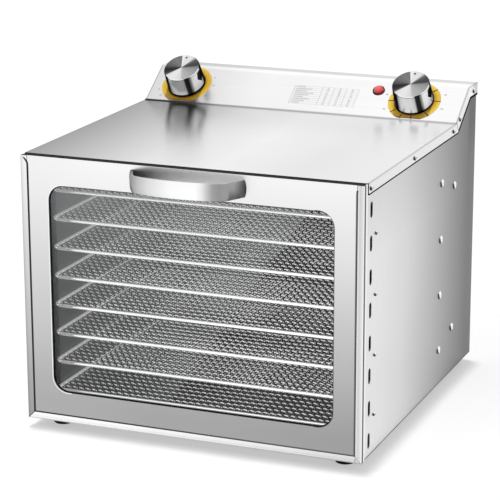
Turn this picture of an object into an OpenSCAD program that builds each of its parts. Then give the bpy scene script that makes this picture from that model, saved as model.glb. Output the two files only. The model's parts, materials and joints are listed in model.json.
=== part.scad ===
// Countertop food dehydrator: a stainless cabinet with a drop-down glass door, eight wire trays on
// runners, a rear fan with a ring heater, and a sloping control box with two dials. Millimetres.
//
// X runs to the right, Y to the back and Z up. The origin is on the table, under the middle of the
// whole appliance. Inside the modules Y = 0 is the crest of the door's front and Z = 0 is the
// underside of the cabinet; placed() moves that to the origin.

/* [Cabinet] */
// Width over the flanges of the covers
body_w = 345; // [325:1:380]
// Depth from the door's front to the back of the control cover
body_d = 358; // [350:1:400]
// Thickness of the stainless sheet
sheet = 1; // [0.8:0.1:1.2]
// Width of the sheet edges that are folded inwards
fold_w = 12; // [10:0.5:14]
// Height of the base pan's upturned edges
pan_h = 14; // [12:0.5:16]
// Height of the top cover's side flanges
flange_h = 11.5; // [10:0.5:13]
// Radius of the round lower front corner of those flanges
flange_corner = 3.5; // [2:0.5:6]
// Height of the rubber feet
foot_h = 10; // [8:0.5:14]
// Radius of the feet at the cabinet
foot_r = 11; // [9:0.5:13]
// Distance of the feet's middles from the cabinet's sides
foot_inset = 25; // [18:0.5:32]
// Distance of the feet's middles from the cabinet's front and back
foot_end = 17; // [14:0.5:30]

/* [Control box] */
// Height of the control box above the top cover
ctrl_rise = 29.4; // [28:0.1:36]
// Angle of the control face from the level
slope_a = 34; // [32:0.5:40]
// Depth of the level strip behind the control face
ctrl_strip = 30; // [26:0.5:36]
// Depth of the control cover's side flanges
ctrl_flange = 13; // [11:0.5:15]
// Width of the control cover's lip on the top cover
lip_w = 3.5; // [2.5:0.1:5]

/* [Dials and lamp] */
// Distance of the timer from the cabinet's left side
timer_in = 38.5; // [34.5:0.5:50]
// Distance of the thermostat from the cabinet's right side
thermostat_in = 52; // [36:0.5:62]
// Height of the dials' middles up the control face
dial_s = 25; // [24:0.1:28]
// Outer radius of the dial rings
dial_r = 27.6; // [24:0.1:28]
// Thickness of the dial rings
dial_t = 0.4; // [0.3:0.1:0.6]
// Radius of the knobs at their bases
knob_r = 20.5; // [17:0.5:21]
// How much the knobs narrow towards their tops
knob_draft = 1.2; // [0:0.1:2]
// Height of the knobs
knob_h = 24; // [20:0.5:28]
// Radius of the control spindles
spindle_r = 3; // [2.5:0.1:3.5]
// Distance of the lamp from the cabinet's right side
lamp_in = 93.5; // [88:0.5:110]
// Height of the lamp's middle up the control face
lamp_s = 36; // [30:0.5:40]
// Radius of the lamp's lens
lens_r = 4.9; // [4:0.1:5.5]

/* [Door] */
// Thickness of the door
door_t = 9; // [9:0.1:10]
// Gap between the closed door and the cabinet
door_gap = 1; // [0.8:0.1:1.4]
// Width of the rounded rim round the door
rim_w = 6.6; // [6:0.1:8]
// Height of the rim's crest above the door's face
rim_crest = 0.8; // [0.6:0.1:1]
// Distance of the window from the door's sides
win_side = 28.5; // [26:0.5:34]
// Distance of the window from the door's bottom
win_bottom = 30.5; // [28:0.5:36]
// Distance of the window from the door's top
win_top = 26.5; // [26:0.5:32]
// Corner radius of the window
win_r = 15.5; // [12:0.5:20]
// Thickness of the window glass
glass_t = 4; // [3:0.1:4.2]
// Overlap of the glass behind the window's edge
glass_lap = 8; // [6:0.5:10]
// Height of the hinge axis above the cabinet's underside
hinge_z = 3.5; // [3.3:0.1:4]
// Distance of the hinge axis behind the door's front
hinge_y = 5; // [4.8:0.1:5.2]
// Radius of the hinge pins
pin_r = 1.5; // [1.2:0.1:1.8]

/* [Door handle] */
// Distance between the handle's ends
handle_w = 117; // [100:1:130]
// Projection of the handle from the door's front
handle_out = 29.5; // [26:0.5:34]
// Height of the handle's strap
handle_h = 18; // [15:0.5:20]
// Thickness of the handle's strap
handle_t = 2; // [1.6:0.1:2.4]
// Distance of the handle's middle below the top of the cabinet
handle_drop = 13; // [12.5:0.5:14]
// Bend radius of the handle's corners
handle_bend = 14; // [10:0.5:16]

/* [Trays] */
// Number of trays
tray_count = 8; // [5:1:8]
// Distance from one tray to the next
tray_pitch = 28.8; // [26:0.1:34]
// Height of the lowest tray's rods above the cabinet's underside
tray_low = 24; // [23:0.5:30]
// Space above the highest tray's rods
tray_head = 38.4; // [36:0.1:46]
// Gap between the trays and the fan baffle
tray_gap = 12.6; // [8:0.1:30]
// Distance of the trays behind the door's front
tray_front = 23.4; // [20:0.1:26]
// Radius of the rods round each tray
rod_r = 1.6; // [1.2:0.1:2]
// Radius of each tray's corners
tray_corner = 10; // [8:0.5:16]
// Distance from wire to wire in the tray's mesh
mesh_pitch = 16; // [12:0.5:24]
// Thickness of the mesh wires
mesh_wire = 1.1; // [0.8:0.1:1.3]

/* [Tray racks] */
// Distance of the racks' plates from the cabinet's side skins
rack_inset = 13.5; // [12:0.5:16]
// Distance of the racks behind the door's front
rack_front = 31; // [29:0.5:33]
// Width of the racks' fixing tabs
rack_tab = 12; // [11:0.5:14]
// Gap between the racks and the fan baffle
rack_gap = 31; // [20:1:50]
// Width of the runners
runner_w = 9; // [7:0.5:10]
// Play between each tray and its rack
side_play = 1.5; // [1:0.1:2]
// Running gap under the trays
run_gap = 0.3; // [0.3:0.05:0.5]

/* [Fan and heater] */
// Depth of the fan space, from the baffle's front to the cabinet's back
fan_space = 80; // [76:1:90]
// Radius of the fan
fan_r = 68; // [60:1:74]
// Depth of the fan's blades
blade_d = 16; // [12:0.5:18]
// Number of fan blades
blade_count = 12; // [8:1:14]
// Radius of the fan shaft
shaft_r = 3; // [2.5:0.1:3.5]
// Radius of the heater ring
heater_r = 90; // [86:0.5:94]
// Radius of the heater's tube
heater_tube = 3.25; // [2.5:0.05:3.5]
// Radius of the motor
motor_r = 30; // [26:0.5:34]
// Length of the motor
motor_len = 28; // [24:0.5:32]

/* [Vents and cord inlet] */
// Height of the slots in the cabinet's sides
slot_h = 15.2; // [10:0.1:16]
// Width of the slots in the cabinet's sides
slot_w = 6.4; // [3:0.1:7]
// Distance of the side slots behind the cabinet's front edge
slot_in = 13; // [12:0.5:14]
// Radius of the rear intake
intake_r = 70; // [60:1:78]
// Distance between the rear intake's slots
intake_pitch = 14; // [12:0.5:18]
// Width of the rear intake's slots
intake_slot = 6; // [4:0.5:8]
// Radius of the passage for the supply cord
gland_bore = 3.75; // [3:0.05:4.5]
// Projection of the cord gland from the back
gland_out = 10; // [8:0.5:14]
// Distance of the cord gland from the cabinet's left side
gland_in = 50.5; // [40:0.5:70]
// Height of the cord gland above the cabinet's underside
gland_z = 36; // [30:1:60]

/* [Screws] */
// Radius of the screws' heads
head_r = 2.6; // [2:0.1:3]
// Radius of the rivets' heads
rivet_r = 4.2; // [2.5:0.1:4.5]
// Radius of the screws' shanks
shank_r = 1.5; // [1:0.1:1.8]
// Clearance round the screws' shanks
shank_gap = 0.1; // [0.05:0.05:0.3]

/* [Hidden] */

// Where the sheets lie
half_w = body_w / 2;
skin_x = half_w - sheet;
inner_x = skin_x - sheet;
cab_y = door_t + door_gap;
rear_y = body_d - sheet;
edge_y = rear_y - sheet;
baffle_y = body_d - fan_space;
top_z = tray_low + (tray_count - 1) * tray_pitch + tray_head;
fold_z = pan_h + sheet;
gland_x = half_w - gland_in;

// The whole appliance, from the handle's front to the gland's end
mid_y = (rear_y + gland_out - handle_out) / 2;

// Control box: the slope starts where its underside meets the top cover
ctrl_z = top_z + ctrl_rise;
slope_run = (ctrl_rise - sheet) / tan(slope_a);
slope_len = (ctrl_rise - sheet) / sin(slope_a);
strip_y = body_d - ctrl_strip;
slope_y = strip_y - slope_run;
fold_t = sheet * tan(slope_a / 2);
timer_x = half_w - timer_in;
thermostat_x = half_w - thermostat_in;
lamp_x = half_w - lamp_in;
cover_gap = 1;
knob_top_r = knob_r - knob_draft;
dial_edge = 0.3;
bush_r = spindle_r + 2;
spindle_in = 20;
timer_w = 44;
timer_h = 38;
timer_deep = 30;
thermostat_r = 18;
thermostat_deep = 26;

// Door
door_h = top_z - 0.4;
face_y = rim_crest;
back_of_face = face_y + sheet;
rim_back = 2 * rim_crest;
seam = 0.5;
win_half = half_w - win_side;
win_top_z = door_h - win_top;
gasket_t = 1.6;
glass_y = back_of_face + gasket_t;
retainer_y = glass_y + glass_t + 0.1;
seal_y = retainer_y + sheet;
seal_h = 6;
seal_lap = 5;
rest_gap = 0.3;
ear_x = half_w - 8;
ear_t = 3;
ear_len = 24;
ear_foot = 2;
nose_r = hinge_y - rim_back - rest_gap;
pin_gap = 0.05;
magnet_x = 112;
magnet_w = 16;
magnet_d = 10;

// Handle: a bowed front, two bends and two legs that run to the door at leg_a
handle_z = top_z - handle_drop;
leg_a = 64;
bow_a = 14;
strap_crown = 24;
strap_steps = 6;
bow_steps = 4;
bend_steps = 5;
boss_r = 4;
boss_len = 4;
handle_screw_r = 3;

// Trays and racks
tray_hw = skin_x - rack_inset - sheet - side_play;
rack_x = tray_hw + side_play;
tray_rear = baffle_y - tray_gap;
tray_d = tray_rear - tray_front;
rack_rear = baffle_y - rack_gap;
layer_gap = 0.05;
mesh_weld = 0.25;
mesh_in = 0.8;

// Side slots: the lowest one's middle, and the drop from the top cover to the highest one's
slot_low = 15;
slot_drop = 27;

// Fan and heater
fan_z = top_z / 2;
fan_front = baffle_y + sheet + 5;
bridge_t = 1.5;
bridge_h = 36;
bridge_foot = 14;
leg_x = heater_r + heater_tube + 9;
hub_r = 9;
motor_gap = 6.5;
bridge_y = edge_y - motor_gap - motor_len - bridge_t;
blade_t = 1.2;
heater_y = fan_front + blade_d / 2 + 1;
tail_x = 12;
tail_len = 34;
clip_w = 8;
clip_h = 6;
grille_r = 5;
grille_rings = 4;
outlet_gap = 18;
outlet_x = leg_x + bridge_foot + outlet_gap;
outlet_pitch = 38;
outlet_w = 9;
outlet_h = 28;

// Terminal strip on the base pan, beside the cord gland
strip_x = -gland_x - 5;
strip_back = edge_y - 22;
strip_d = 20;
strip_h = 16;
pole_pitch = 12;
pole_r = 2.4;

// Feet and screws
foot_recess = 0.45 * foot_h;
foot_screw_r = 2;
foot_head_r = 4;
foot_nut = 5;
head_rim = 0.9;
head_dome = 0.7;

// Rows of screws, each as [Y, Z] on the cabinet's sides
tab_y = rack_front + rack_tab / 2;
rack_rivet_y = rack_rear - rack_tab / 2;
baffle_rivet_y = baffle_y + sheet + fold_w / 2;
row_low = 37;
row_drop = 52;
row_high = top_z - row_drop;
row_step = (row_high - row_low) / 3;
screw_rows = [for (i = [0:3]) row_low + i * row_step];
rack_screw_at = [for (z = screw_rows) [tab_y, z]];
rivet_at = concat([for (z = screw_rows) [rack_rivet_y, z]],
                  [[baffle_rivet_y, row_low + 12], [baffle_rivet_y, row_high - 12]]);
cover_low_y = cab_y + 9;
cover_high_y = slope_y - 11;
cover_at = [for (y = [cover_low_y, (cover_low_y + cover_high_y) / 2, cover_high_y])
  [y, top_z - flange_h / 2]];
ctrl_low_y = slope_y + 10.5;
ctrl_end = 14;
ctrl_at = [[ctrl_low_y, top_z + 2.5], [body_d - ctrl_end, ctrl_z - ctrl_flange / 2]];
back_screw_x = skin_x - fold_w / 2;
back_low = 30;
back_drop = 24;
back_high = top_z - back_drop;
back_screw_z = [back_low, (back_low + back_high) / 2, back_high];
cover_back_x = 100;
grip = 4;

$fn = 48;

// ---- Helpers ----

module placed() {
  translate([0, -mid_y, foot_h]) children();
}

// A block between two values on each axis
module block(x, y, z) {
  translate([x[0], y[0], z[0]]) cube([x[1] - x[0], y[1] - y[0], z[1] - z[0]]);
}

// The children and their mirror image on the left
module both_sides() {
  children();
  mirror([1, 0, 0]) children();
}

// A [Y, Z] outline, extruded along X from x0
module side_outline(x0, width) {
  translate([x0, 0, 0]) rotate([90, 0, 90]) linear_extrude(width) children();
}

// An [X, Z] outline, extruded backwards along Y from y0
module front_outline(y0, depth) {
  translate([0, y0 + depth, 0]) rotate([90, 0, 0]) linear_extrude(depth) children();
}

module x_rod(x0, length, y, z, r) {
  translate([x0, y, z]) rotate([0, 90, 0]) cylinder(r = r, h = length);
}

module y_rod(x, y0, length, z, r) {
  translate([x, y0, z]) rotate([-90, 0, 0]) cylinder(r = r, h = length);
}

// A rectangle with true round corners, from its low and high corners
module round_rect(low, high, r) {
  translate([low[0] + r, low[1]]) square([high[0] - low[0] - 2 * r, high[1] - low[1]]);
  translate([low[0], low[1] + r]) square([high[0] - low[0], high[1] - low[1] - 2 * r]);
  for (x = [low[0] + r, high[0] - r], z = [low[1] + r, high[1] - r])
    translate([x, z]) circle(r = r);
}

// The window's outline, grown outwards
module window_outline(grow) {
  round_rect([-win_half - grow, win_bottom - grow], [win_half + grow, win_top_z + grow], win_r + grow);
}

// A place on the control face: x to the right, s up the slope, Z outwards
module on_slope(x, s) {
  translate([x, slope_y - fold_t, top_z + sheet]) rotate([slope_a, 0, 0]) translate([0, s, 0]) children();
}

// Pan head screw along Z: the head stands on Z = 0 and the shank goes down
module pan_screw(r, shank) {
  cylinder(r = r, h = head_rim);
  translate([0, 0, head_rim]) cylinder(r1 = r, r2 = 0.55 * r, h = head_dome);
  translate([0, 0, -shank]) cylinder(r = shank_r, h = shank + 0.1);
}

// Screws on the right-hand skin at [Y, Z] places, with their heads on the plane at x
module side_screws(places, x, r) {
  for (p = places) translate([x, p[0], p[1]]) rotate([0, 90, 0]) pan_screw(r, grip);
}

module side_holes(places) {
  for (p = places) x_rod(inner_x - 2, sheet * 2 + 4, p[0], p[1], shank_r + shank_gap);
}

// ---- Cabinet ----

module hinge_notch() {
  block([ear_x - ear_t / 2 - 0.5, ear_x + ear_t / 2 + 0.5], [cab_y - 1, cab_y + sheet + 1],
        [sheet, hinge_z + nose_r + 0.5]);
}

module base_pan() color("silver") placed() difference() {
  union() {
    block([-inner_x, inner_x], [cab_y, edge_y], [0, sheet]);
    both_sides() block([inner_x - sheet, inner_x], [rack_front, edge_y], [0, pan_h]);
    block([-inner_x, inner_x], [cab_y, cab_y + sheet], [0, pan_h]);
    block([-inner_x, inner_x], [edge_y - sheet, edge_y], [0, pan_h]);
  }
  both_sides() hinge_notch();
  foot_places() translate([0, 0, -1]) cylinder(r = foot_screw_r + shank_gap, h = sheet + 2);
}

// Right side: a skin with folded front and back edges, exhaust slots and screw holes
module side_sheet() difference() {
  union() {
    side_outline(inner_x, sheet)
      polygon([[cab_y, 0], [edge_y, 0], [edge_y, ctrl_z - sheet], [strip_y, ctrl_z - sheet],
               [slope_y, top_z], [slope_y, top_z - sheet], [cab_y, top_z - sheet]]);
    block([skin_x - fold_w, inner_x], [cab_y, cab_y + sheet], [fold_z, top_z - sheet]);
    block([skin_x - fold_w, inner_x], [edge_y - sheet, edge_y], [fold_z, ctrl_z - sheet]);
  }
  for (k = [0:tray_count - 1])
    side_outline(inner_x - 1, sheet + 2) slot_2d([cab_y + slot_in, slot_z(k)], slot_w, slot_h);
  side_holes(concat(rack_screw_at, rivet_at, cover_at, ctrl_at));
  for (z = back_screw_z) y_rod(back_screw_x, edge_y - sheet - 1, sheet + 2, z, shank_r + shank_gap);
}

// Slots run evenly from near the bottom to just under the top cover's flange
function slot_z(k) = slot_low + k * (top_z - slot_low - slot_drop) / (tray_count - 1);

// Upright slot with round ends
module slot_2d(at, w, h) {
  translate(at) {
    square([w, h - w], center = true);
    for (s = [-1, 1]) translate([0, s * (h - w) / 2]) circle(r = w / 2);
  }
}

module left_side_panel() color("gainsboro") placed() mirror([1, 0, 0]) side_sheet();
module right_side_panel() color("gainsboro") placed() side_sheet();

module rear_panel() color("silver") placed() difference() {
  block([-skin_x, skin_x], [edge_y, rear_y], [0, ctrl_z - sheet]);
  front_outline(edge_y - 1, sheet + 2) {
    for (i = [-4:4]) {
      x = i * intake_pitch;
      slot_2d([x, fan_z], intake_slot, 2 * sqrt(intake_r * intake_r - x * x));
    }
  }
  y_rod(-gland_x, edge_y - 1, sheet + 2, gland_z, gland_bore + 2.5);
  both_sides() for (z = back_screw_z) y_rod(back_screw_x, edge_y - 1, sheet + 2, z, shank_r + shank_gap);
  both_sides() y_rod(cover_back_x, edge_y - 1, sheet + 2, ctrl_z - ctrl_flange / 2, shank_r + shank_gap);
}

module top_cover() color("whitesmoke") placed() difference() {
  union() {
    block([-half_w, half_w], [cab_y, slope_y], [top_z - sheet, top_z]);
    block([fold_w - skin_x + 0.5, skin_x - fold_w - 0.5], [cab_y, cab_y + sheet], [top_z - fold_w, top_z]);
    both_sides() side_outline(skin_x, sheet) {
      polygon([[cab_y + flange_corner, top_z - flange_h],
               [slope_y - cover_gap + flange_h * tan(slope_a), top_z - flange_h],
               [slope_y - cover_gap, top_z], [cab_y, top_z],
               [cab_y, top_z - flange_h + flange_corner]]);
      translate([cab_y + flange_corner, top_z - flange_h + flange_corner]) circle(r = flange_corner);
    }
  }
  both_sides() side_holes(cover_at);
}

module control_cover() color("whitesmoke") placed() difference() {
  union() {
    side_outline(-half_w, body_w)
      polygon([[slope_y - lip_w, top_z], [slope_y, top_z], [strip_y, ctrl_z - sheet],
               [rear_y, ctrl_z - sheet], [rear_y, ctrl_z - ctrl_flange], [body_d, ctrl_z - ctrl_flange],
               [body_d, ctrl_z], [strip_y - fold_t, ctrl_z], [slope_y - fold_t, top_z + sheet],
               [slope_y - lip_w, top_z + sheet]]);
    both_sides() side_outline(skin_x, sheet) control_flange_2d();
  }
  both_sides() side_holes(ctrl_at);
  both_sides() y_rod(cover_back_x, rear_y - 1, sheet + 2, ctrl_z - ctrl_flange / 2, shank_r + shank_gap);
  for (x = [-timer_x, thermostat_x])
    on_slope(x, dial_s) translate([0, 0, -5]) cylinder(r = bush_r + 0.2, h = 10);
  on_slope(lamp_x, lamp_s) translate([0, 0, -5]) cylinder(r = lens_r + 0.3, h = 10);
}

// The flange follows the slope and the strip, and its front end is square to the slope
module control_flange_2d() {
  tip = [slope_y + ctrl_flange * sin(slope_a), top_z - ctrl_flange * cos(slope_a)];
  low_z = ctrl_z - ctrl_flange;
  polygon([[slope_y, top_z], tip, [tip[0] + (low_z - tip[1]) / tan(slope_a), low_z],
           [body_d, low_z], [body_d, ctrl_z], [strip_y - fold_t, ctrl_z],
           [slope_y - fold_t, top_z + sheet]]);
}

// ---- Tray racks, baffle and fan drive ----

// A hat-shaped channel with a tab at each end and one runner for each tray
module rack() difference() {
  union() {
    translate([0, 0, fold_z + 0.5])
      linear_extrude(top_z - sheet - 0.5 - fold_z - 0.5)
        polygon([[inner_x, rack_front], [inner_x - sheet, rack_front],
                 [inner_x - sheet, rack_front + rack_tab - sheet], [rack_x, rack_front + rack_tab - sheet],
                 [rack_x, rack_rear - rack_tab + sheet], [inner_x - sheet, rack_rear - rack_tab + sheet],
                 [inner_x - sheet, rack_rear], [inner_x, rack_rear], [inner_x, rack_rear - rack_tab],
                 [rack_x + sheet, rack_rear - rack_tab], [rack_x + sheet, rack_front + rack_tab],
                 [inner_x, rack_front + rack_tab]]);
    for (k = [1:tray_count])
      block([rack_x - runner_w, rack_x + sheet / 2], [rack_front + rack_tab, rack_rear - rack_tab],
            [tray_z(k) - rod_r - run_gap - sheet, tray_z(k) - rod_r - run_gap]);
  }
  side_holes(concat(rack_screw_at, rivet_at));
}

module left_rack() color("lightslategray") placed() mirror([1, 0, 0]) rack();
module right_rack() color("lightslategray") placed() rack();

// An upright sheet across the cabinet, with holes in rings before the fan and slots at the sides
module fan_baffle() color("slategray") placed() difference() {
  union() {
    block([-inner_x, inner_x], [baffle_y, baffle_y + sheet], [fold_z + 0.5, top_z - sheet]);
    block([sheet + 0.5 - inner_x, inner_x - sheet - 0.5], [baffle_y, baffle_y + sheet],
          [sheet, fold_z + 0.5]);
    both_sides() block([inner_x - sheet, inner_x], [baffle_y, baffle_y + sheet + fold_w],
                       [fold_z + 0.5, top_z - sheet]);
  }
  front_outline(baffle_y - 1, sheet + 2) translate([0, fan_z]) {
    circle(r = grille_r);
    for (ring = [1:grille_rings], i = [0:6 * ring - 1])
      rotate(i * 60 / ring) translate([ring * fan_r / (grille_rings + 0.6), 0]) circle(r = grille_r);
  }
  front_outline(baffle_y - 1, sheet + 2)
    for (s = [-1, 1], k = [-2:2]) slot_2d([s * outlet_x, fan_z + k * outlet_pitch], outlet_w, outlet_h);
  both_sides() side_holes(rivet_at);
}

// A bridge over the fan, on two legs that stand on the back of the baffle
module motor_bracket() color("silver") placed() difference() {
  union() {
    block([-leg_x, leg_x], [bridge_y, bridge_y + bridge_t], [fan_z - bridge_h / 2, fan_z + bridge_h / 2]);
    both_sides() {
      block([leg_x - bridge_t, leg_x], [baffle_y + sheet, bridge_y + bridge_t],
            [fan_z - bridge_h / 2, fan_z + bridge_h / 2]);
      block([leg_x - bridge_t, leg_x + bridge_foot], [baffle_y + sheet, baffle_y + sheet + bridge_t],
            [fan_z - bridge_h / 2, fan_z + bridge_h / 2]);
    }
  }
  y_rod(0, bridge_y - 1, bridge_t + 2, fan_z, hub_r + 0.2);
}

module fan_motor() color("dimgray") placed() difference() {
  union() {
    y_rod(0, bridge_y + bridge_t, motor_len, fan_z, motor_r);
    y_rod(0, bridge_y - 4, bridge_t + 5, fan_z, hub_r);
    for (a = [45:90:315])
      translate([0, bridge_y + bridge_t + 4, fan_z]) rotate([0, a, 0])
        translate([motor_r - 1, 0, -4]) cube([3, motor_len - 8, 8]);
  }
  y_rod(0, bridge_y - 5, bridge_t + motor_len, fan_z, shaft_r + pin_gap);
}

module fan_shaft() color("silver") placed()
  y_rod(0, fan_front + 2, bridge_y + bridge_t + motor_len - 8 - fan_front, fan_z, shaft_r);

// A disc with blades round its front, on a hub
module fan_rotor() color("lightgray") placed() difference() {
  union() {
    y_rod(0, fan_front + blade_d, blade_t, fan_z, fan_r);
    y_rod(0, fan_front + 4, blade_d - 2, fan_z, hub_r);
    for (i = [0:blade_count - 1])
      translate([0, fan_front, fan_z]) rotate([0, i * 360 / blade_count, 0])
        translate([0.45 * fan_r, 0, 0]) rotate([0, 24, 0]) cube([0.5 * fan_r, blade_d + 0.5, blade_t]);
  }
  y_rod(0, fan_front - 1, blade_d + 4, fan_z, shaft_r + 0.01);
}

// A tube bent to a ring round the fan, with two tails to the back
module heating_element() color("dimgray") placed() union() {
  translate([0, heater_y, fan_z]) rotate([90, 0, 0])
    rotate_extrude() translate([heater_r, 0]) circle(r = heater_tube);
  both_sides() y_rod(tail_x, heater_y, tail_len, fan_z - sqrt(heater_r * heater_r - tail_x * tail_x),
                     heater_tube - 0.25);
}

module heater_clips() color("silver") placed()
  for (a = [30, 90, 150, 215, 325])
    translate([heater_r * cos(a), baffle_y + sheet, fan_z + heater_r * sin(a)])
      rotate([0, -a, 0]) translate([-clip_w / 2, 0, -clip_h / 2])
        cube([clip_w, heater_y - heater_tube - 0.1 - baffle_y - sheet, clip_h]);

module terminal_block() color("ivory") placed() difference() {
  block([strip_x, strip_x + 4 * pole_pitch + 2], [strip_back - strip_d, strip_back],
        [sheet, sheet + strip_h]);
  for (i = [0:3])
    translate([strip_x + (i + 0.5) * pole_pitch + 1, strip_back - strip_d / 2, sheet + strip_h / 2])
      cylinder(r = pole_r, h = strip_h);
}

// ---- Controls ----

// The threaded bush that passes through the control face, and the spindle's passage in it
module bush() translate([0, 0, -sheet - 1]) cylinder(r = bush_r, h = sheet + 1 + dial_t);
module spindle_hole() translate([0, 0, -sheet - spindle_in - 2]) cylinder(r = spindle_r + pin_gap, h = 30);

module timer_body() color("dimgray") placed() on_slope(-timer_x, dial_s) difference() {
  union() {
    translate([-timer_w / 2, -timer_h / 2, -sheet - timer_deep]) cube([timer_w, timer_h, timer_deep]);
    bush();
  }
  spindle_hole();
}

module thermostat_body() color("dimgray") placed() on_slope(thermostat_x, dial_s) difference() {
  union() {
    translate([0, 0, -sheet - thermostat_deep]) cylinder(r = thermostat_r, h = thermostat_deep);
    bush();
  }
  spindle_hole();
}

// A ring round the knob, cut off where the control face ends
module dial_ring() difference() {
  intersection() {
    cylinder(r = dial_r, h = dial_t);
    translate([-dial_r, dial_edge - dial_s, 0]) cube([2 * dial_r, slope_len - 2 * dial_edge, dial_t]);
  }
  translate([0, 0, -1]) cylinder(r = knob_r - 1.5, h = dial_t + 2);
}

module timer_dial() color("gold") placed() on_slope(-timer_x, dial_s) dial_ring();
module thermostat_dial() color("gold") placed() on_slope(thermostat_x, dial_s) dial_ring();

// A drum with a base groove, a bevelled top edge and a pointer dimple
module knob() difference() {
  translate([0, 0, dial_t + 0.4]) rotate_extrude()
    polygon([[spindle_r + 0.01, 0], [knob_r + 0.3, 0], [knob_r + 0.3, 1.2], [knob_r - 0.4, 1.2],
             [knob_r - 0.4, 1.8], [knob_r, 1.8], [knob_top_r, knob_h - 1], [knob_top_r - 1, knob_h],
             [0, knob_h], [0, knob_h - 6], [spindle_r + 0.01, knob_h - 6]]);
  translate([0, knob_top_r - 3.5, dial_t + 0.4 + knob_h - 0.5]) cylinder(r = 1.1, h = 1);
}

module spindle() translate([0, 0, -sheet - spindle_in])
  cylinder(r = spindle_r, h = sheet + spindle_in + dial_t + knob_h - 8);

module timer_knob() color("silver") placed() on_slope(-timer_x, dial_s) knob();
module thermostat_knob() color("silver") placed() on_slope(thermostat_x, dial_s) knob();
module timer_spindle() color("darkgray") placed() on_slope(-timer_x, dial_s) spindle();
module thermostat_spindle() color("darkgray") placed() on_slope(thermostat_x, dial_s) spindle();

module lamp_bezel() color("black") placed() on_slope(lamp_x, lamp_s) rotate_extrude()
  polygon([[lens_r - 0.6, -sheet - 12], [lens_r + 0.2, -sheet - 12], [lens_r + 0.2, 0],
           [lens_r + 1.7, 0], [lens_r + 1.3, 1.9], [lens_r + 0.2, 2.2], [lens_r + 0.05, 0.6],
           [lens_r - 0.6, 0.6]]);

// A flat-bottomed dome that sits in the bezel
module lamp_lens() color("red") placed() on_slope(lamp_x, lamp_s) intersection() {
  translate([0, 0, 0.65]) cylinder(r = lens_r, h = 4);
  translate([0, 0, -4.6]) sphere(r = lens_r + 4.1);
}

// ---- Back, feet and fasteners ----

module cable_gland() color("black") placed() translate([-gland_x, edge_y, gland_z]) rotate([-90, 0, 0])
  difference() {
    union() {
      translate([0, 0, -3.5]) cylinder(r = gland_bore + 5.5, h = 3.5, $fn = 6);
      translate([0, 0, -6]) cylinder(r = gland_bore + 2.3, h = sheet + 8);
      translate([0, 0, sheet]) cylinder(r = gland_bore + 5, h = 3.5);
      translate([0, 0, sheet + 3.5])
        cylinder(r1 = gland_bore + 4, r2 = gland_bore + 2.2, h = gland_out - 3.5);
    }
    translate([0, 0, -8]) cylinder(r = gland_bore, h = gland_out + 12);
  }

module foot_places() {
  for (x = [foot_inset - half_w, half_w - foot_inset], y = [cab_y + foot_end, edge_y - foot_end])
    translate([x, y, 0]) children();
}

// Half-section of a foot: a straight collar that rounds down to a flat sole
module foot_2d() {
  collar = 0.3 * foot_h;
  drop = foot_h - collar;
  polygon(concat([[0, 0], [foot_r, 0]],
                 [for (a = [0:15:90]) [foot_r - 0.22 * foot_r * (1 - cos(a)), -collar - drop * sin(a)]],
                 [[0, -foot_h]]));
}

module feet() color("black") placed() foot_places() difference() {
  rotate_extrude() foot_2d();
  translate([0, 0, -foot_h - 1]) cylinder(r = foot_screw_r + shank_gap, h = foot_h + 2);
  translate([0, 0, -foot_h - 1]) cylinder(r = foot_head_r + 0.6, h = foot_recess + 1);
}

module foot_screws() color("silver") placed() foot_places() {
  translate([0, 0, foot_recess - foot_h]) {
    cylinder(r = foot_screw_r, h = foot_h - foot_recess + sheet + foot_nut);
    translate([0, 0, -foot_head_r / 2]) cylinder(r = foot_head_r, h = foot_head_r / 2);
  }
}

module cover_screws() color("silver") placed() both_sides() {
  side_screws(cover_at, half_w, head_r);
  side_screws(ctrl_at, half_w, head_r);
}

module rack_screws() color("silver") placed() both_sides() side_screws(rack_screw_at, skin_x, head_r - 0.6);

module side_rivets() color("silver") placed() both_sides() side_screws(rivet_at, skin_x, rivet_r);

module rear_screws() color("silver") placed() both_sides() {
  for (z = back_screw_z) translate([back_screw_x, rear_y, z]) rotate([-90, 0, 0]) pan_screw(head_r, grip);
  translate([cover_back_x, body_d, ctrl_z - ctrl_flange / 2]) rotate([-90, 0, 0]) pan_screw(head_r, grip);
}

// An ear through the base pan's notch, on a foot plate inside the pan
module hinge_brackets() color("gray") placed() both_sides() difference() {
  union() {
    x_rod(ear_x - ear_t / 2, ear_t, hinge_y, hinge_z, nose_r);
    block([ear_x - ear_t / 2, ear_x + ear_t / 2], [hinge_y, cab_y + ear_len / 2],
          [sheet, hinge_z + nose_r]);
    block([ear_x - ear_len / 2, ear_x + ear_t / 2], [cab_y + sheet + rest_gap, cab_y + ear_len],
          [sheet, sheet + ear_foot]);
  }
  x_rod(ear_x - ear_t, 2 * ear_t, hinge_y, hinge_z, pin_r + pin_gap);
}

module catch_magnets() color("dimgray") placed() both_sides()
  block([magnet_x, magnet_x + magnet_w], [cab_y + sheet, cab_y + sheet + magnet_d],
        [top_z - fold_w - magnet_d / 2, top_z - fold_w + magnet_d / 2]);

// ---- Door ----

// Cross-section of the rim: a convex crest on a flat back, from 0 to rim_w
module rim_2d() {
  crest_r = (rim_w * rim_w / 4 + rim_crest * rim_crest) / (2 * rim_crest);
  intersection() {
    translate([rim_w / 2, crest_r]) circle(r = crest_r, $fn = 180);
    square([rim_w, rim_back]);
  }
}

module side_rim() translate([half_w, 0, 0]) mirror([1, 0, 0]) linear_extrude(door_h) rim_2d();
module bottom_rim() translate([-half_w, 0, 0])
  multmatrix([[0, 0, 1, 0], [0, 1, 0, 0], [1, 0, 0, 0], [0, 0, 0, 1]])
    linear_extrude(body_w) rim_2d();

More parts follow.
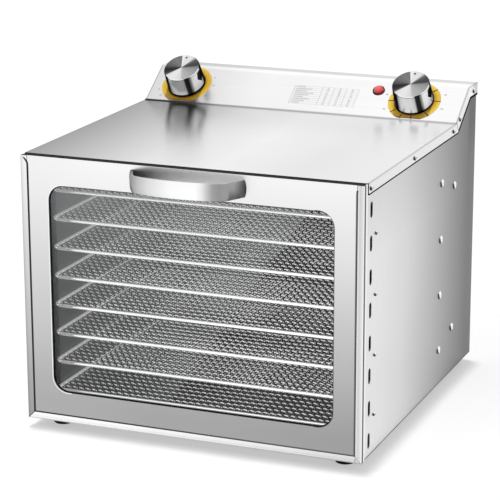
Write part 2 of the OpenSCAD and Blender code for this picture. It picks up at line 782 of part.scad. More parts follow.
// Rounded rim on three sides with mitred corners, and folded edges behind it
module door_frame() color("gainsboro") placed() union() {
  both_sides() difference() {
    side_rim();
    block([half_w - rim_w - 1, half_w + 1], [-1, door_t], [-1, rim_w]);
  }
  difference() {
    bottom_rim();
    both_sides() block([half_w - rim_w, half_w + 1], [-1, door_t], [-1, rim_w + 1]);
  }
  both_sides() intersection() {
    side_rim();
    bottom_rim();
  }
  both_sides() side_outline(skin_x, sheet)
    polygon([[face_y, 0], [hinge_y + 2.5, 0], [door_t, 2], [door_t, door_h], [face_y, door_h]]);
  block([ear_t + 1 - ear_x, ear_x - ear_t - 1], [face_y, door_t - 1], [0, sheet]);
}

module door_panel() color("whitesmoke") placed() difference() {
  union() {
    block([rim_w + seam - half_w, half_w - rim_w - seam], [face_y, back_of_face],
          [rim_w + seam, door_h]);
    front_outline(face_y, sheet + 1.3) window_outline(sheet);
  }
  front_outline(face_y - 1, sheet + 4) window_outline(0);
  both_sides() y_rod(handle_foot_x, face_y - 1, sheet + 2, handle_z, shank_r + shank_gap);
}

module window_pane() color("lightblue", 0.4) placed()
  front_outline(glass_y, glass_t) window_outline(glass_lap);

// A flat ring under the glass, with a lip that shows inside the window's edge
module window_gasket() color("black") placed() difference() {
  front_outline(back_of_face, gasket_t) window_outline(glass_lap - 1);
  front_outline(back_of_face - 1, sheet + 1.4) window_outline(sheet + 0.05);
  front_outline(back_of_face, gasket_t + 1) window_outline(-1);
}

// The door's inner skin: it holds the glass and closes the door's hollow
module glass_retainer() color("silver") placed() difference() {
  union() {
    block([0.1 - skin_x, skin_x - 0.1], [retainer_y, retainer_y + sheet],
          [pan_h - seal_lap, door_h - seal_h - 1]);
    block([-ear_x, ear_x], [back_of_face, retainer_y], [pan_h, pan_h + sheet]);
    block([-ear_x, ear_x], [back_of_face, retainer_y], [door_h - seal_h - 1 - sheet, door_h - seal_h - 1]);
    both_sides() block([ear_x - sheet, ear_x], [back_of_face, retainer_y], [pan_h, door_h - seal_h - 1]);
  }
  front_outline(retainer_y - 1, sheet + 2) window_outline(2);
}

// A flat rubber frame that meets the cabinet's edges, with a thicker strip along the door's top
module door_seal() color("black") placed() union() {
  block([-skin_x + 0.5, skin_x - 0.5], [back_of_face, cab_y - rest_gap], [door_h - seal_h, door_h]);
  both_sides() block([skin_x - fold_w + 2, skin_x - 2], [seal_y, cab_y - rest_gap],
                     [pan_h - seal_lap, door_h - seal_h]);
  block([-skin_x + 2, skin_x - 2], [seal_y, cab_y - rest_gap], [pan_h - seal_lap, pan_h]);
}

module hinge_pins() color("darkgray") placed() both_sides()
  x_rod(ear_x - ear_t / 2 - 2, skin_x - ear_x + ear_t / 2 + 2, hinge_y, hinge_z, pin_r);

// The bow's radius, at which the bow, the bend and the leg end at half the handle's width
bow_r = (handle_w / 2 - handle_bend * (sin(leg_a) - sin(bow_a))
         - (handle_out - handle_bend * (cos(bow_a) - cos(leg_a))) / tan(leg_a))
        / (sin(bow_a) - (1 - cos(bow_a)) / tan(leg_a));
handle_foot_x = handle_w / 2 - handle_t - boss_r - 0.2;
bend_at = [0, bow_r - handle_out] + (bow_r - handle_bend) * [sin(bow_a), -cos(bow_a)];

// A place on the strap's path where its outward direction is at angle a from the front
function strap_at(a, inset) = a <= bow_a
  ? [0, bow_r - handle_out] + (bow_r - inset) * [sin(a), -cos(a)]
  : bend_at + (handle_bend - inset) * [sin(a), -cos(a)];

// The end of the leg on the door's face
function foot_at(inset) = strap_at(leg_a, inset)
  + (face_y - strap_at(leg_a, inset)[1]) / sin(leg_a) * [cos(leg_a), sin(leg_a)];

// Crescent section as [inset, Z], round the crowned outer face and back along the inner one
strap_z = [for (i = [0:strap_steps]) handle_h * (i / strap_steps - 0.5)];
strap_section = concat(
  [for (z = strap_z) [strap_crown - sqrt(strap_crown * strap_crown - z * z), z]],
  [for (i = [strap_steps:-1:0])
    [strap_crown - sqrt(pow(strap_crown - handle_t, 2) - strap_z[i] * strap_z[i]), strap_z[i]]]);

// Right-hand stations from the middle outwards; the last one is the foot
strap_stations = concat([for (i = [0:bow_steps - 1]) i * bow_a / bow_steps],
                        [for (i = [0:bend_steps]) bow_a + i * (leg_a - bow_a) / bend_steps]);

function strap_ring(i) = [for (p = strap_section)
  let (at = i < len(strap_stations) ? strap_at(strap_stations[i], p[0]) : foot_at(p[0]))
  [at[0], at[1], p[1]]];

module strap() {
  last = len(strap_stations);
  n = len(strap_section);
  rings = concat([for (i = [last:-1:1]) [for (p = strap_ring(i)) [-p[0], p[1], p[2]]]],
                 [for (i = [0:last]) strap_ring(i)]);
  polyhedron(
    [for (ring = rings, p = ring) p],
    concat([[for (j = [n - 1:-1:0]) j]],
           [for (i = [0:len(rings) - 2], j = [0:n - 1])
             [i * n + j, i * n + (j + 1) % n, (i + 1) * n + (j + 1) % n, (i + 1) * n + j]],
           [[for (j = [0:n - 1]) (len(rings) - 1) * n + j]]));
}

// The strap stands on the door's face, with a screw boss in each corner a hair off the face
module door_handle() color("silver") placed() translate([0, 0, handle_z]) difference() {
  union() {
    strap();
    both_sides() y_rod(handle_foot_x, face_y - boss_len, boss_len - 0.1, 0, boss_r);
  }
  both_sides() y_rod(handle_foot_x, face_y - boss_len + 0.4, boss_len, 0, shank_r + 0.02);
}

module handle_screws() color("silver") placed() both_sides()
  translate([handle_foot_x, back_of_face, handle_z]) rotate([-90, 0, 0])
    pan_screw(handle_screw_r, sheet + boss_len - 1);

// ---- Trays ----

function tray_z(k) = tray_low + (k - 1) * tray_pitch;

// A rod bent to a rectangle with round corners
module tray_frame(k) color("white") placed() translate([0, 0, tray_z(k)]) {
  cx = tray_hw - rod_r - tray_corner;
  y0 = tray_front + rod_r;
  y1 = tray_rear - rod_r;
  union() {
    x_rod(-cx, 2 * cx, y0, 0, rod_r);
    x_rod(-cx, 2 * cx, y1, 0, rod_r);
    both_sides() {
      y_rod(cx + tray_corner, y0 + tray_corner, y1 - y0 - 2 * tray_corner, 0, rod_r);
      translate([cx, y1 - tray_corner, 0]) rotate_extrude(angle = 90)
        translate([tray_corner, 0]) circle(r = rod_r);
      translate([cx, y0 + tray_corner, 0]) rotate([0, 0, -90]) rotate_extrude(angle = 90)
        translate([tray_corner, 0]) circle(r = rod_r);
    }
  }
}

// Two layers of crossed wires, pressed into each other where they are welded at the crossings
module tray_mesh(k) color("lightgray") placed() translate([0, 0, tray_z(k) + rod_r + layer_gap]) {
  wire_x = tray_hw - tray_corner;
  wire_y = tray_d / 2 - tray_corner;
  nx = floor(wire_x / mesh_pitch);
  ny = floor(wire_y / mesh_pitch);
  for (i = [-nx:nx])
    translate([i * mesh_pitch - mesh_wire / 2, tray_front + mesh_in, 0])
      cube([mesh_wire, tray_d - 2 * mesh_in, mesh_wire]);
  for (j = [-ny:ny])
    translate([mesh_in - tray_hw, tray_front + tray_d / 2 + j * mesh_pitch - mesh_wire / 2,
               mesh_wire - mesh_weld])
      cube([2 * (tray_hw - mesh_in), mesh_wire, mesh_wire]);
}

// ---- What is drawn ----

base_pan();
left_side_panel();
right_side_panel();
rear_panel();
top_cover();
control_cover();
left_rack();
right_rack();
fan_baffle();
motor_bracket();
fan_motor();
heating_element();
heater_clips();
timer_body();
thermostat_body();
terminal_block();
lamp_bezel();
lamp_lens();
timer_dial();
thermostat_dial();
cable_gland();
feet();
foot_screws();
cover_screws();
rack_screws();
side_rivets();
rear_screws();
hinge_brackets();
catch_magnets();
door_frame();
door_panel();
window_pane();
window_gasket();
glass_retainer();
door_seal();
door_handle();
handle_screws();
hinge_pins();
fan_rotor();
fan_shaft();
timer_knob();
timer_spindle();
thermostat_knob();
thermostat_spindle();
for (k = [1:tray_count]) {
  tray_frame(k);
  tray_mesh(k);
}
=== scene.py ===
"""The looks of a countertop food dehydrator: brushed steel, chrome, glass, rubber and woven wire.

Everything is in metres in the row frame: +X to the right of someone facing the door, +Y to the back,
+Z up, with the origin on the table under the middle of the appliance.
"""
import json
import math

import bpy
from mathutils import Matrix, Vector

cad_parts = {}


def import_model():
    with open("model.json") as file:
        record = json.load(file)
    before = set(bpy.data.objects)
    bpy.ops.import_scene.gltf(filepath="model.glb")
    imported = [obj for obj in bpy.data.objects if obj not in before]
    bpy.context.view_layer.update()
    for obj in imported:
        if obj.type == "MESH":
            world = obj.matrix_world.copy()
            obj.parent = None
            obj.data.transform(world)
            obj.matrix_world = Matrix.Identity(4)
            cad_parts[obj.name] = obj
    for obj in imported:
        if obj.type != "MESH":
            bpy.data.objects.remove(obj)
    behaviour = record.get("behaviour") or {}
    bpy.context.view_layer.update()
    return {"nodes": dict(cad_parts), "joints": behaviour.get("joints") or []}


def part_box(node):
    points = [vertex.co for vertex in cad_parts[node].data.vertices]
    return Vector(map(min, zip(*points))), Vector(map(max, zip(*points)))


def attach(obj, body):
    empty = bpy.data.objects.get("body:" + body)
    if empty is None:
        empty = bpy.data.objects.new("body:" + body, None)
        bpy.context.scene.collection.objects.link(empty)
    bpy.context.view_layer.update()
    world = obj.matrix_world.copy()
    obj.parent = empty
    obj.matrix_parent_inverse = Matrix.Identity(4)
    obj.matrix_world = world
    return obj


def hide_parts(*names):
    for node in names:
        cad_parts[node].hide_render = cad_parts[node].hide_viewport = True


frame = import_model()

MM = 0.001
nodes = frame["nodes"]
joints = {j["name"]: j for j in frame["joints"]}
each_tray = sorted(name.removeprefix("tray_frame_") for name in nodes if name.startswith("tray_frame_"))


# ---- Shader helpers ----
# An output knows its own node tree, so a helper that is given one needs no tree.

HAIR_FINE, HAIR_LONG = 900.0, 9.0  # scales of the noise across and along brushed hair lines
HAIR_DEPTH = 0.02 * MM
CLOUD_SCALE, CLOUD_SHARE = 7.0, 0.03  # the slow drift between light and dark over a sheet
SPECKLE_DEPTH = 0.03 * MM
SPECKLE_ROUGH = 0.04
DARKEST, DARK = 0.03, 0.065  # painted lines between these tones lose part of their glancing gloss


def fill(node, inputs):
    """Links or sets a node's sockets: inputs maps their names or numbers to outputs or values."""
    for socket, value in inputs.items():
        if isinstance(value, bpy.types.NodeSocket):
            node.id_data.links.new(value, node.inputs[socket])
        else:
            node.inputs[socket].default_value = value


def add(kind, inputs, **settings):
    """A new shader node, by its type's name without ShaderNode, in the tree of what it is linked to."""
    tree = next(value.id_data for value in inputs.values() if isinstance(value, bpy.types.NodeSocket))
    made = tree.nodes.new("ShaderNode" + kind)
    for name, value in settings.items():
        setattr(made, name, value)
    fill(made, inputs)
    return made


def new_material(name):
    """(material, its node tree, its Principled shader)."""
    mat = bpy.data.materials.new(name)
    mat.use_nodes = True
    return mat, mat.node_tree, mat.node_tree.nodes["Principled BSDF"]


def position(tree):
    """The shaded point in the piece's own coordinates, and its X, Y and Z."""
    where = tree.nodes.new("ShaderNodeTexCoord").outputs["Object"]
    return where, tuple(add("SeparateXYZ", {0: where}).outputs)


def grey(value):
    return (value, value, value, 1.0)


def ramp(factor, stops):
    """A colour ramp with (place from 0 to 1, grey or colour) stops."""
    made = add("ValToRGB", {"Fac": factor})
    elements = made.color_ramp.elements
    while len(elements) < len(stops):
        elements.new(0.5)
    for element, (place, tone) in zip(elements, stops):
        element.position = place
        element.color = tone if isinstance(tone, tuple) else grey(tone)
    return made.outputs["Color"]


def spread(value, low, high, out_low=0.0, out_high=1.0):
    """value's stretch from low to high, mapped to out_low to out_high and clamped."""
    return add("MapRange", {"Value": value, "From Min": low, "From Max": high,
                            "To Min": out_low, "To Max": out_high}).outputs["Result"]


def tone_along(value, stops):
    """A colour that follows (place in metres, grey or colour) stops along a coordinate."""
    low, high = stops[0][0], stops[-1][0]
    return ramp(spread(value, low, high), [((place - low) / (high - low), tone) for place, tone in stops])


def blend_colours(factor, a, b, kind="MIX"):
    return add("MixRGB", {"Fac": factor, "Color1": a, "Color2": b}, blend_type=kind).outputs["Color"]


def multiply(a, b):
    return blend_colours(1.0, a, b, "MULTIPLY")


def to_number(colour):
    return add("RGBToBW", {0: colour}).outputs[0]


def math_node(operation, a, b=0.0, c=0.0):
    return add("Math", {0: a, 1: b, 2: c}, operation=operation).outputs[0]


def above(value, edge):
    """1 where a coordinate is past an edge, else 0."""
    return math_node("GREATER_THAN", value, edge)


def below(value, edge):
    return math_node("LESS_THAN", value, edge)


def near(value, place, reach):
    """1 where a coordinate lies within reach of a place, else 0."""
    return math_node("COMPARE", value, place, reach)


def times(a, b):
    """A product, which for two masks is 1 where both are."""
    return math_node("MULTIPLY", a, b)


def larger(a, b):
    return math_node("MAXIMUM", a, b)


def minus(a, b):
    return math_node("SUBTRACT", a, b)


def size_of(value):
    return math_node("ABSOLUTE", value)


def vector_math(operation, a, b=(0.0, 0.0, 0.0)):
    """A vector, or a number from an operation that gives one."""
    made = add("VectorMath", {0: a, 1: b}, operation=operation)
    return made.outputs["Value" if operation in ("LENGTH", "DISTANCE", "DOT_PRODUCT") else "Vector"]


def drawn(tone, mask, shade):
    """The tone, with a plain grey laid over it where the mask is 1."""
    return blend_colours(mask, tone, grey(shade))


def shaded(tone, mask, share):
    """The tone, darkened to a share of itself where the mask is 1."""
    return multiply(tone, blend_colours(mask, grey(1.0), grey(share)))


def beyond(a, b):
    """How far a point lies past two limits at once: the length of the two excesses, each from 0 up."""
    excess = add("CombineXYZ", {0: larger(a, 0.0), 1: larger(b, 0.0)})
    return vector_math("LENGTH", excess.outputs[0])


def noise(where, scale, detail=2.0, roughness=0.5):
    return add("TexNoise", {"Vector": where, "Scale": scale, "Detail": detail,
                            "Roughness": roughness}).outputs["Fac"]


def between(value, low, high):
    """Low to high over the stretch that most of a noise lies in."""
    return spread(value, 0.3, 0.7, low, high)


def grain_noise(where, grain):
    """Noise drawn out into hair lines along the axes named by grain, from 0 to 1."""
    scale = [HAIR_LONG if axis in grain else HAIR_FINE for axis in "XYZ"]
    stretched = add("Mapping", {"Vector": where, "Scale": scale}).outputs[0]
    return noise(stretched, 1.0, 3.0, 0.6)


def bump(shader, height, strength, distance):
    made = add("Bump", {"Height": height, "Strength": strength, "Distance": distance})
    fill(shader, {"Normal": made.outputs["Normal"]})


def steel(name, axis, stops, grain, rough=0.3, hair=0.07, depth=0.12, paint=None, glance=None, glow=0.0):
    """Brushed stainless steel whose tone follows stops along an axis, as painted light and shade, with hair
    lines along grain.

    paint takes the tone and the coordinates, and gives the tone with painted light and shade on its folds and
    edges.
    glance is the share of gloss that the darkest painted lines keep at a glancing angle, where steel turns
    pale.
    glow is a painted glow of its own, which stands for the light that bright wire catches inside a dark box.
    """
    mat, tree, shader = new_material(name)
    where, xyz = position(tree)
    # The tone along the axis is painted light and shade
    tone = tone_along(xyz["XYZ".index(axis)], stops)
    if paint:
        tone = paint(tone, *xyz)
    lines = grain_noise(where, grain)
    clouded = multiply(tone, between(noise(where, CLOUD_SCALE, 1.0), 1 - CLOUD_SHARE, 1 + CLOUD_SHARE))
    brushed = multiply(clouded, spread(lines, 0.25, 0.75, 1 - hair, 1 + hair))
    fill(shader, {"Base Color": brushed, "Metallic": 1.0,
                  "Roughness": spread(lines, 0.2, 0.8, rough - hair, rough + hair)})
    if glance is not None:
        kept = spread(to_number(tone), DARKEST, DARK, glance, 1.0)
        fill(shader, {"Specular Tint": blend_colours(kept, grey(0.0), grey(1.0))})
    # A painted glow
    if glow:
        fill(shader, {"Emission Color": brushed, "Emission Strength": glow})
    bump(shader, lines, depth, HAIR_DEPTH)
    return mat


def plain(name, colour, rough, metallic=0.0, scale=900.0, variation=0.06, depth=0.1, gloss=0.5):
    """A moulded, painted or plain metal surface with a fine mottled grain."""
    mat, tree, shader = new_material(name)
    speckle = noise(position(tree)[0], scale)
    fill(shader, {"Base Color": multiply((*colour, 1.0), between(speckle, 1 - variation, 1 + variation)),
                  "Roughness": between(speckle, rough - SPECKLE_ROUGH, rough + SPECKLE_ROUGH),
                  "Metallic": metallic, "Specular IOR Level": gloss})
    bump(shader, speckle, depth, SPECKLE_DEPTH)
    return mat


def dress(mat, *names):
    """Puts a material on CAD nodes' own slots."""
    for name in names:
        for held in nodes[name].material_slots:
            held.material = mat


# ---- Mesh helpers ----

SOLID_GAP = 9 * MM


def placed(name, data, at=Matrix()):
    """A new object in the scene."""
    obj = bpy.data.objects.new(name, data)
    bpy.context.scene.collection.objects.link(obj)
    obj.matrix_world = at
    return obj


def rider(name, data, body, at):
    """A new object that rides on a body."""
    obj = placed(name, data, at)
    bpy.context.view_layer.update()
    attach(obj, body)
    return obj


def piece(name, verts, faces, body, slot, mat, replaced=(), at=Matrix(), smooth=True, data=None):
    """A rider with a new mesh, or with the finished one in data, that stands for replaced CAD nodes."""
    if data is None:
        data = bpy.data.meshes.new(name)
        data.from_pydata([tuple(v) for v in verts], [], faces)
        data.validate()
        data.update()
        data.shade_smooth() if smooth else data.shade_flat()
        data.materials.append(mat)
    obj = rider(name, data, body, at)
    if replaced:
        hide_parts(*replaced)
    return obj


def sharpen(obj, degrees=35):
    """Marks the edges that bend more than this as sharp, so that flats stay flat in smooth shading."""
    obj.data.set_sharp_from_angle(angle=math.radians(degrees))


def lathe(profile, segments):
    """(verts, faces) of a profile of (radius, height) turned round Z. A zero radius closes the end."""
    verts, rings = [], []
    for r, z in profile:
        if r == 0:
            rings.append([len(verts)])
            verts.append((0, 0, z))
        else:
            rings.append(list(range(len(verts), len(verts) + segments)))
            verts += [(r * math.cos(a), r * math.sin(a), z)
                      for a in (2 * math.pi * i / segments for i in range(segments))]
    faces = []
    for low, high in zip(rings, rings[1:]):
        for i in range(segments):
            j = (i + 1) % segments
            if len(low) == 1 and len(high) > 1:
                faces.append((low[0], high[j], high[i]))
            elif len(high) == 1 and len(low) > 1:
                faces.append((low[i], low[j], high[0]))
            elif len(low) > 1:
                faces.append((low[i], low[j], high[j], high[i]))
    return verts, faces


def lofted(rings, clockwise=False):
    """(verts, faces) of a skin over rings of points, with both ends closed.

    The points of a ring run anticlockwise or clockwise, seen from the last ring.
    """
    n, last = len(rings[0]), len(rings) - 1
    faces = []
    for i in range(last):
        for j in range(n):
            m = (j + 1) % n
            a, b, c, d = i * n + j, i * n + m, (i + 1) * n + m, (i + 1) * n + j
            faces.append((a, d, c, b) if clockwise else (a, b, c, d))
    start, end = tuple(range(n)), tuple(range(last * n, (last + 1) * n))
    faces += [start, end[::-1]] if clockwise else [start[::-1], end]
    return [v for ring in rings for v in ring], faces


def block(low, high):
    """(verts, faces) of a box between two corners."""
    verts = [(x, y, z) for x in (low[0], high[0]) for y in (low[1], high[1]) for z in (low[2], high[2])]
    return verts, [(0, 1, 3, 2), (4, 6, 7, 5), (0, 4, 5, 1), (2, 3, 7, 6), (0, 2, 6, 4), (1, 5, 7, 3)]


def joined(parts):
    """One (verts, faces) from several, each with its own matrix or None."""
    verts, faces = [], []
    for (some, quads), matrix in parts:
        start = len(verts)
        verts += [tuple(matrix @ Vector(v)) if matrix else tuple(v) for v in some]
        faces += [tuple(start + i for i in quad) for quad in quads]
    return verts, faces


def facing(origin, normal):
    """A matrix at origin, whose Z axis is normal and whose Y axis leans upwards."""
    z = normal.normalized()
    x = Vector((0, 0, 1)).cross(z).normalized()
    turned = Matrix((x, z.cross(x), z)).transposed().to_4x4()
    turned.translation = origin
    return turned


def clusters(name):
    """The (low, high) corners of each of a node's separate solids, which lie further apart than SOLID_GAP."""
    groups = []
    for v in nodes[name].data.vertices:
        for group in groups:
            if (group[0] - v.co).length < SOLID_GAP:
                group.append(v.co)
                break
        else:
            groups.append([v.co])
    return [tuple(Vector([end(p[i] for p in group) for i in range(3)]) for end in (min, max))
            for group in groups]


def span(name, origin, axis):
    """How far a CAD node reaches along an axis from a point: (lowest, highest)."""
    along = [(v.co - origin).dot(axis) for v in nodes[name].data.vertices]
    return min(along), max(along)


# ---- Sizes, from the frame ----

panel_low, panel_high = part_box("door_panel")
rim_low, rim_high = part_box("door_frame")
gasket_low, gasket_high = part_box("window_gasket")
glass_low, glass_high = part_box("window_pane")
skin_low, skin_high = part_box("right_side_panel")
top_low, top_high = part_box("top_cover")
ctrl_low, ctrl_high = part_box("control_cover")
half_w = top_high.x
knob_places = {name: Vector(joints[name + "_turn"]["pos_m"]) for name in ("timer", "thermostat")}
timer_at = knob_places["timer"]
slope_normal = -Vector(joints["timer_turn"]["axis"])
slope_up = slope_normal.cross(Vector((1, 0, 0)))
slope_foot = timer_at.y - (timer_at.z - top_high.z) * slope_up.y / slope_up.z

SHEET = 1.0 * MM
GASKET_LAP = 7 * MM
WINDOW_ROUND = 15.5 * MM
WINDOW_SIDE = 125 * MM  # the window's upright edges lie outside this
FLANGE_ROUND = 3.5 * MM
LINE = 1.0 * MM  # half the width of a door groove
FOLD = 1.3 * MM  # width of the fine line of painted shade along a fold
FOLD_DROP = 1.2 * MM  # how far down that line reaches
SKIN = 0.06 * MM  # the outer face of a flange lies within this of the widest point
EDGE_LINE = 2.0 * MM  # width of the shadow line round the top cover's flanges
FOOT_LINE = 1.2 * MM  # height of the shadow line at the foot of a side
CONTROL_FLANGE = 10.6 * MM  # where that of the control cover's flanges starts, under its top
GROOVE_FLARE = 9 * MM  # height over which the door's side grooves flare out at the top
MIDDLE_X = 0.1  # tones and shapes change from the left one to the right one within this of the middle
SHADOW = 0.02


# ---- Sheet metal: tones along each sheet, painted light and shade, with painted light and shade on its folds and edges ----

# Painted light and shade: the tone that each sheet shows along one axis, for its reflections and its shade,
# as (place in metres, tone)
TOP_TONES = [(-0.172, 0.17), (-0.15, 0.26), (-0.11, 0.43), (-0.05, 0.71), (0.02, 0.86), (0.1, 0.76),
             (0.172, 0.82)]
SLOPE_TONES = [(-0.172, 0.74), (-0.12, 0.76), (-0.04, 0.9), (0.06, 0.95), (0.172, 0.97)]
SIDE_TONES = [(-0.16, 0.76), (-0.11, 0.73), (-0.05, 0.65), (0.0, 0.52), (0.06, 0.36), (0.12, 0.19),
              (0.165, 0.07), (0.188, 0.07)]
DOOR_TONES = [(0.012, 0.38), (0.06, 0.45), (0.14, 0.61), (0.2, 0.76), (0.25, 0.86), (0.274, 0.9)]
RIM_TONES = [(0.01, 0.36), (0.06, 0.44), (0.14, 0.6), (0.25, 0.86), (0.274, 0.92)]
BACK_TONES = [(-0.172, 0.4), (-0.06, 0.6), (0.06, 0.64), (0.172, 0.46)]
# Painted shade inside the cabinet, on the inner sheets and the racks
INNER_TONES = [(-0.172, 0.1), (0.0, 0.13), (0.172, 0.1)]
RACK_TONES = [(-0.14, 0.15), (0.11, 0.1)]


def cover_lines(tone, x, y, z):
    """The top cover: flanges painted lighter, a painted shadow line round their free edges, a fine line of
    painted shade on each fold, a dark front edge of painted shade and painted shade inside.
    """
    side = size_of(x)
    flange = above(side, half_w - SKIN)
    tone = drawn(tone, flange, 0.74)
    fold = times(above(side, half_w - FOLD), above(z, top_high.z - FOLD_DROP))
    tone = shaded(tone, fold, 0.66)
    corner_y = top_low.y + FLANGE_ROUND
    corner_z = top_low.z + FLANGE_ROUND
    out = beyond(minus(corner_y, y), minus(corner_z, z))
    edge = times(above(out, FLANGE_ROUND - EDGE_LINE), above(side, half_w - SHEET))
    tone = drawn(tone, edge, SHADOW)
    front = times(below(y, top_low.y + SHEET), above(z, top_high.z - FOLD))
    tone = drawn(tone, front, 0.05)
    inside = times(below(side, half_w - 1.5 * MM), below(z, top_high.z - 0.9 * MM))
    return shaded(tone, inside, 0.25)


def control_lines(tone, x, y, z):
    """The control cover: flanges painted lighter, a lip edge of painted shade, darkest on the left, fine
    lines of painted shade on its folds, a painted shadow line round its flanges and bands of painted light
    and shade along the strip at its back.
    """
    side = size_of(x)
    out_of_slope = math_node("ADD", times(minus(y, timer_at.y), slope_normal.y),
                             times(minus(z, timer_at.z), slope_normal.z))
    depth = math_node("MINIMUM", times(out_of_slope, -1.0), minus(ctrl_high.z, z))
    flange = above(side, half_w - SKIN)
    tone = drawn(tone, flange, 0.8)
    fold = times(above(side, half_w - FOLD), below(depth, FOLD_DROP))
    tone = shaded(tone, fold, 0.62)
    foot = times(above(depth, CONTROL_FLANGE), above(side, half_w - SHEET))
    end = times(flange, below(y, slope_foot + FOOT_LINE))
    tone = drawn(tone, larger(foot, end), SHADOW)
    # Bands of painted highlight and shade across the strip at the back
    back = ctrl_high.y
    tone = multiply(tone, tone_along(y, [
        (back - 0.0315, 1.0), (back - 0.03, 1.12), (back - 0.017, 1.08), (back - 0.015, 0.74),
        (back - 0.002, 0.68), (back, 1.05)]))
    lip_edge_shade = tone_along(x, [(-0.172, 0.06), (-0.12, 0.08), (-0.085, 0.5), (0.172, 0.62)])
    tone = blend_colours(below(y, ctrl_low.y + 0.5 * MM), tone, lip_edge_shade)
    fold_line = times(near(y, slope_foot, 0.7 * MM), below(depth, 2 * MM))
    return shaded(tone, fold_line, 0.7)


def side_lines(tone, x, y, z):
    """The side panels: a little painted shade at the top front, a painted shadow line at the foot and painted
    shade over the inside.
    """
    tone = multiply(tone, tone_along(z, [(0.2, 1.0), (0.262, 0.84)]))
    tone = drawn(tone, below(z, skin_low.z + FOOT_LINE), 0.06)
    return drawn(tone, below(size_of(x), skin_high.x - 0.9 * SHEET), 0.12)


def groove_place(x, z):
    """How far out a point of the door lies, counted past the flare of the side grooves at the top."""
    flare = larger(minus(z, rim_high.z - GROOVE_FLARE), 0.0)
    sharpness = spread(x, -MIDDLE_X, MIDDLE_X, 1 / (14 * MM), 1 / (40 * MM))
    bend = times(math_node("POWER", flare, 2.0), sharpness)
    return minus(size_of(x), bend)


def groove_mask(x, z):
    """1 in the grooves between the door's panel and its rim, which are painted dark as shade."""
    groove_top = minus(rim_high.z, spread(x, -MIDDLE_X, MIDDLE_X, 1.6 * MM, 4.5 * MM))
    upright = times(near(groove_place(x, z), panel_high.x - 0.1 * MM, LINE), below(z, groove_top))
    level = times(near(z, panel_low.z + 0.1 * MM, 0.75 * LINE), below(size_of(x), panel_high.x + LINE))
    inside_foot = above(z, panel_low.z - 0.7 * LINE)
    return larger(times(upright, inside_foot), level)


def groove_shade(tone, x, z):
    """The tone with painted shade in the grooves, near black on the left and dark grey on the right."""
    return blend_colours(groove_mask(x, z), tone, tone_along(x, [(-MIDDLE_X, 0.05), (MIDDLE_X, 0.16)]))


def panel_lines(tone, x, y, z):
    """The door's panel: low down, painted lighter on the left and darker on the right, a painted glow near
    its foot, painted shade in the grooves at its rim, a painted highlight along the window's left edge and
    painted shade along its right edge and on the sheet that turns back round the window.
    """
    across = tone_along(x, [(-0.165, 1.06), (0.0, 0.96), (0.165, 0.84)])
    tone = multiply(tone, blend_colours(spread(z, 0.2, 0.04), grey(1.0), across))
    # A painted glow near the foot
    foot_glow = spread(z, panel_low.z + 14 * MM, panel_low.z)
    tone = multiply(tone, blend_colours(foot_glow, grey(1.0), grey(1.06)))
    half_x = gasket_high.x - GASKET_LAP
    half_z = (gasket_high.z - gasket_low.z) / 2 - GASKET_LAP
    middle = (gasket_high.z + gasket_low.z) / 2
    out = beyond(minus(size_of(x), half_x - WINDOW_ROUND),
                 minus(size_of(minus(z, middle)), half_z - WINDOW_ROUND))
    tone = drawn(tone, times(below(x, -WINDOW_SIDE), below(out, WINDOW_ROUND + 0.9 * MM)), 0.97)
    tone = drawn(tone, times(above(x, WINDOW_SIDE), below(out, WINDOW_ROUND + 0.5 * MM)), 0.15)
    # Painted shade on the sheet that turns back behind the front, grey next to the window
    returned = above(y, panel_low.y + SHEET)
    tone = drawn(tone, returned, 0.04)
    tone = drawn(tone, times(returned, below(out, WINDOW_ROUND + 1.3 * MM)), 0.42)
    return groove_shade(tone, x, z)


def rim_lines(tone, x, y, z):
    """The door's rim, in painted light and shade: grey on the left, bright on the right, lighter near the
    top, mitred to a bright bar along the foot with bands of painted highlight, a mitre joint painted dark as
    shade, and painted shade on its side face and its inner parts.
    """
    side = size_of(x)
    inner, width = panel_high.x, half_w - panel_high.x
    left = multiply(tone, tone_along(side, [
        (inner, 1.08), (inner + 0.5 * width, 1.0), (half_w - 1.2 * MM, 0.86), (half_w, 0.62)]))
    right = tone_along(side, [
        (inner, 0.9), (inner + 0.45 * width, 0.64), (half_w - 1.4 * MM, 0.76), (half_w, 0.95)])
    bars = blend_colours(above(x, 0.0), left, right)
    top_light = spread(groove_place(x, z), inner - LINE, inner - 2 * LINE)
    bars = blend_colours(times(top_light, above(z, 0.26)), bars, grey(0.92))
    foot = tone_along(x, [(-0.172, 1.0), (-0.05, 0.98), (0.08, 0.84), (0.172, 0.72)])
    foot = multiply(foot, tone_along(z, [
        (rim_low.z, 0.55), (rim_low.z + 0.9 * MM, 0.72), (rim_low.z + 1.5 * MM, 1.0),
        (rim_low.z + 3.0 * MM, 0.9), (rim_low.z + 5.0 * MM, 1.03), (rim_low.z + 7.0 * MM, 1.0)]))
    mitre = minus(minus(z, rim_low.z), minus(half_w, side))
    tone = blend_colours(below(mitre, 0.0), bars, foot)
    joint = times(near(mitre, 0.0, 0.55 * MM), below(z, panel_low.z))
    tone = blend_colours(joint, tone, tone_along(x, [(-0.01, 0.05), (0.01, 0.42)]))
    tone = groove_shade(tone, x, z)
    # Painted shade on the side face behind the rim, light again at its back
    behind = minus(y, rim_low.y)
    fold = tone_along(behind, [(0.8 * MM, 0.08), (4.7 * MM, 0.07), (5.1 * MM, 0.84), (8.0 * MM, 0.9)])
    tone = blend_colours(above(behind, 0.85 * MM), tone, fold)
    return drawn(tone, times(below(side, inner - 1.5 * MM), above(behind, 2.5 * MM)), 0.3)


# ---- Turned, moulded and clear parts ----

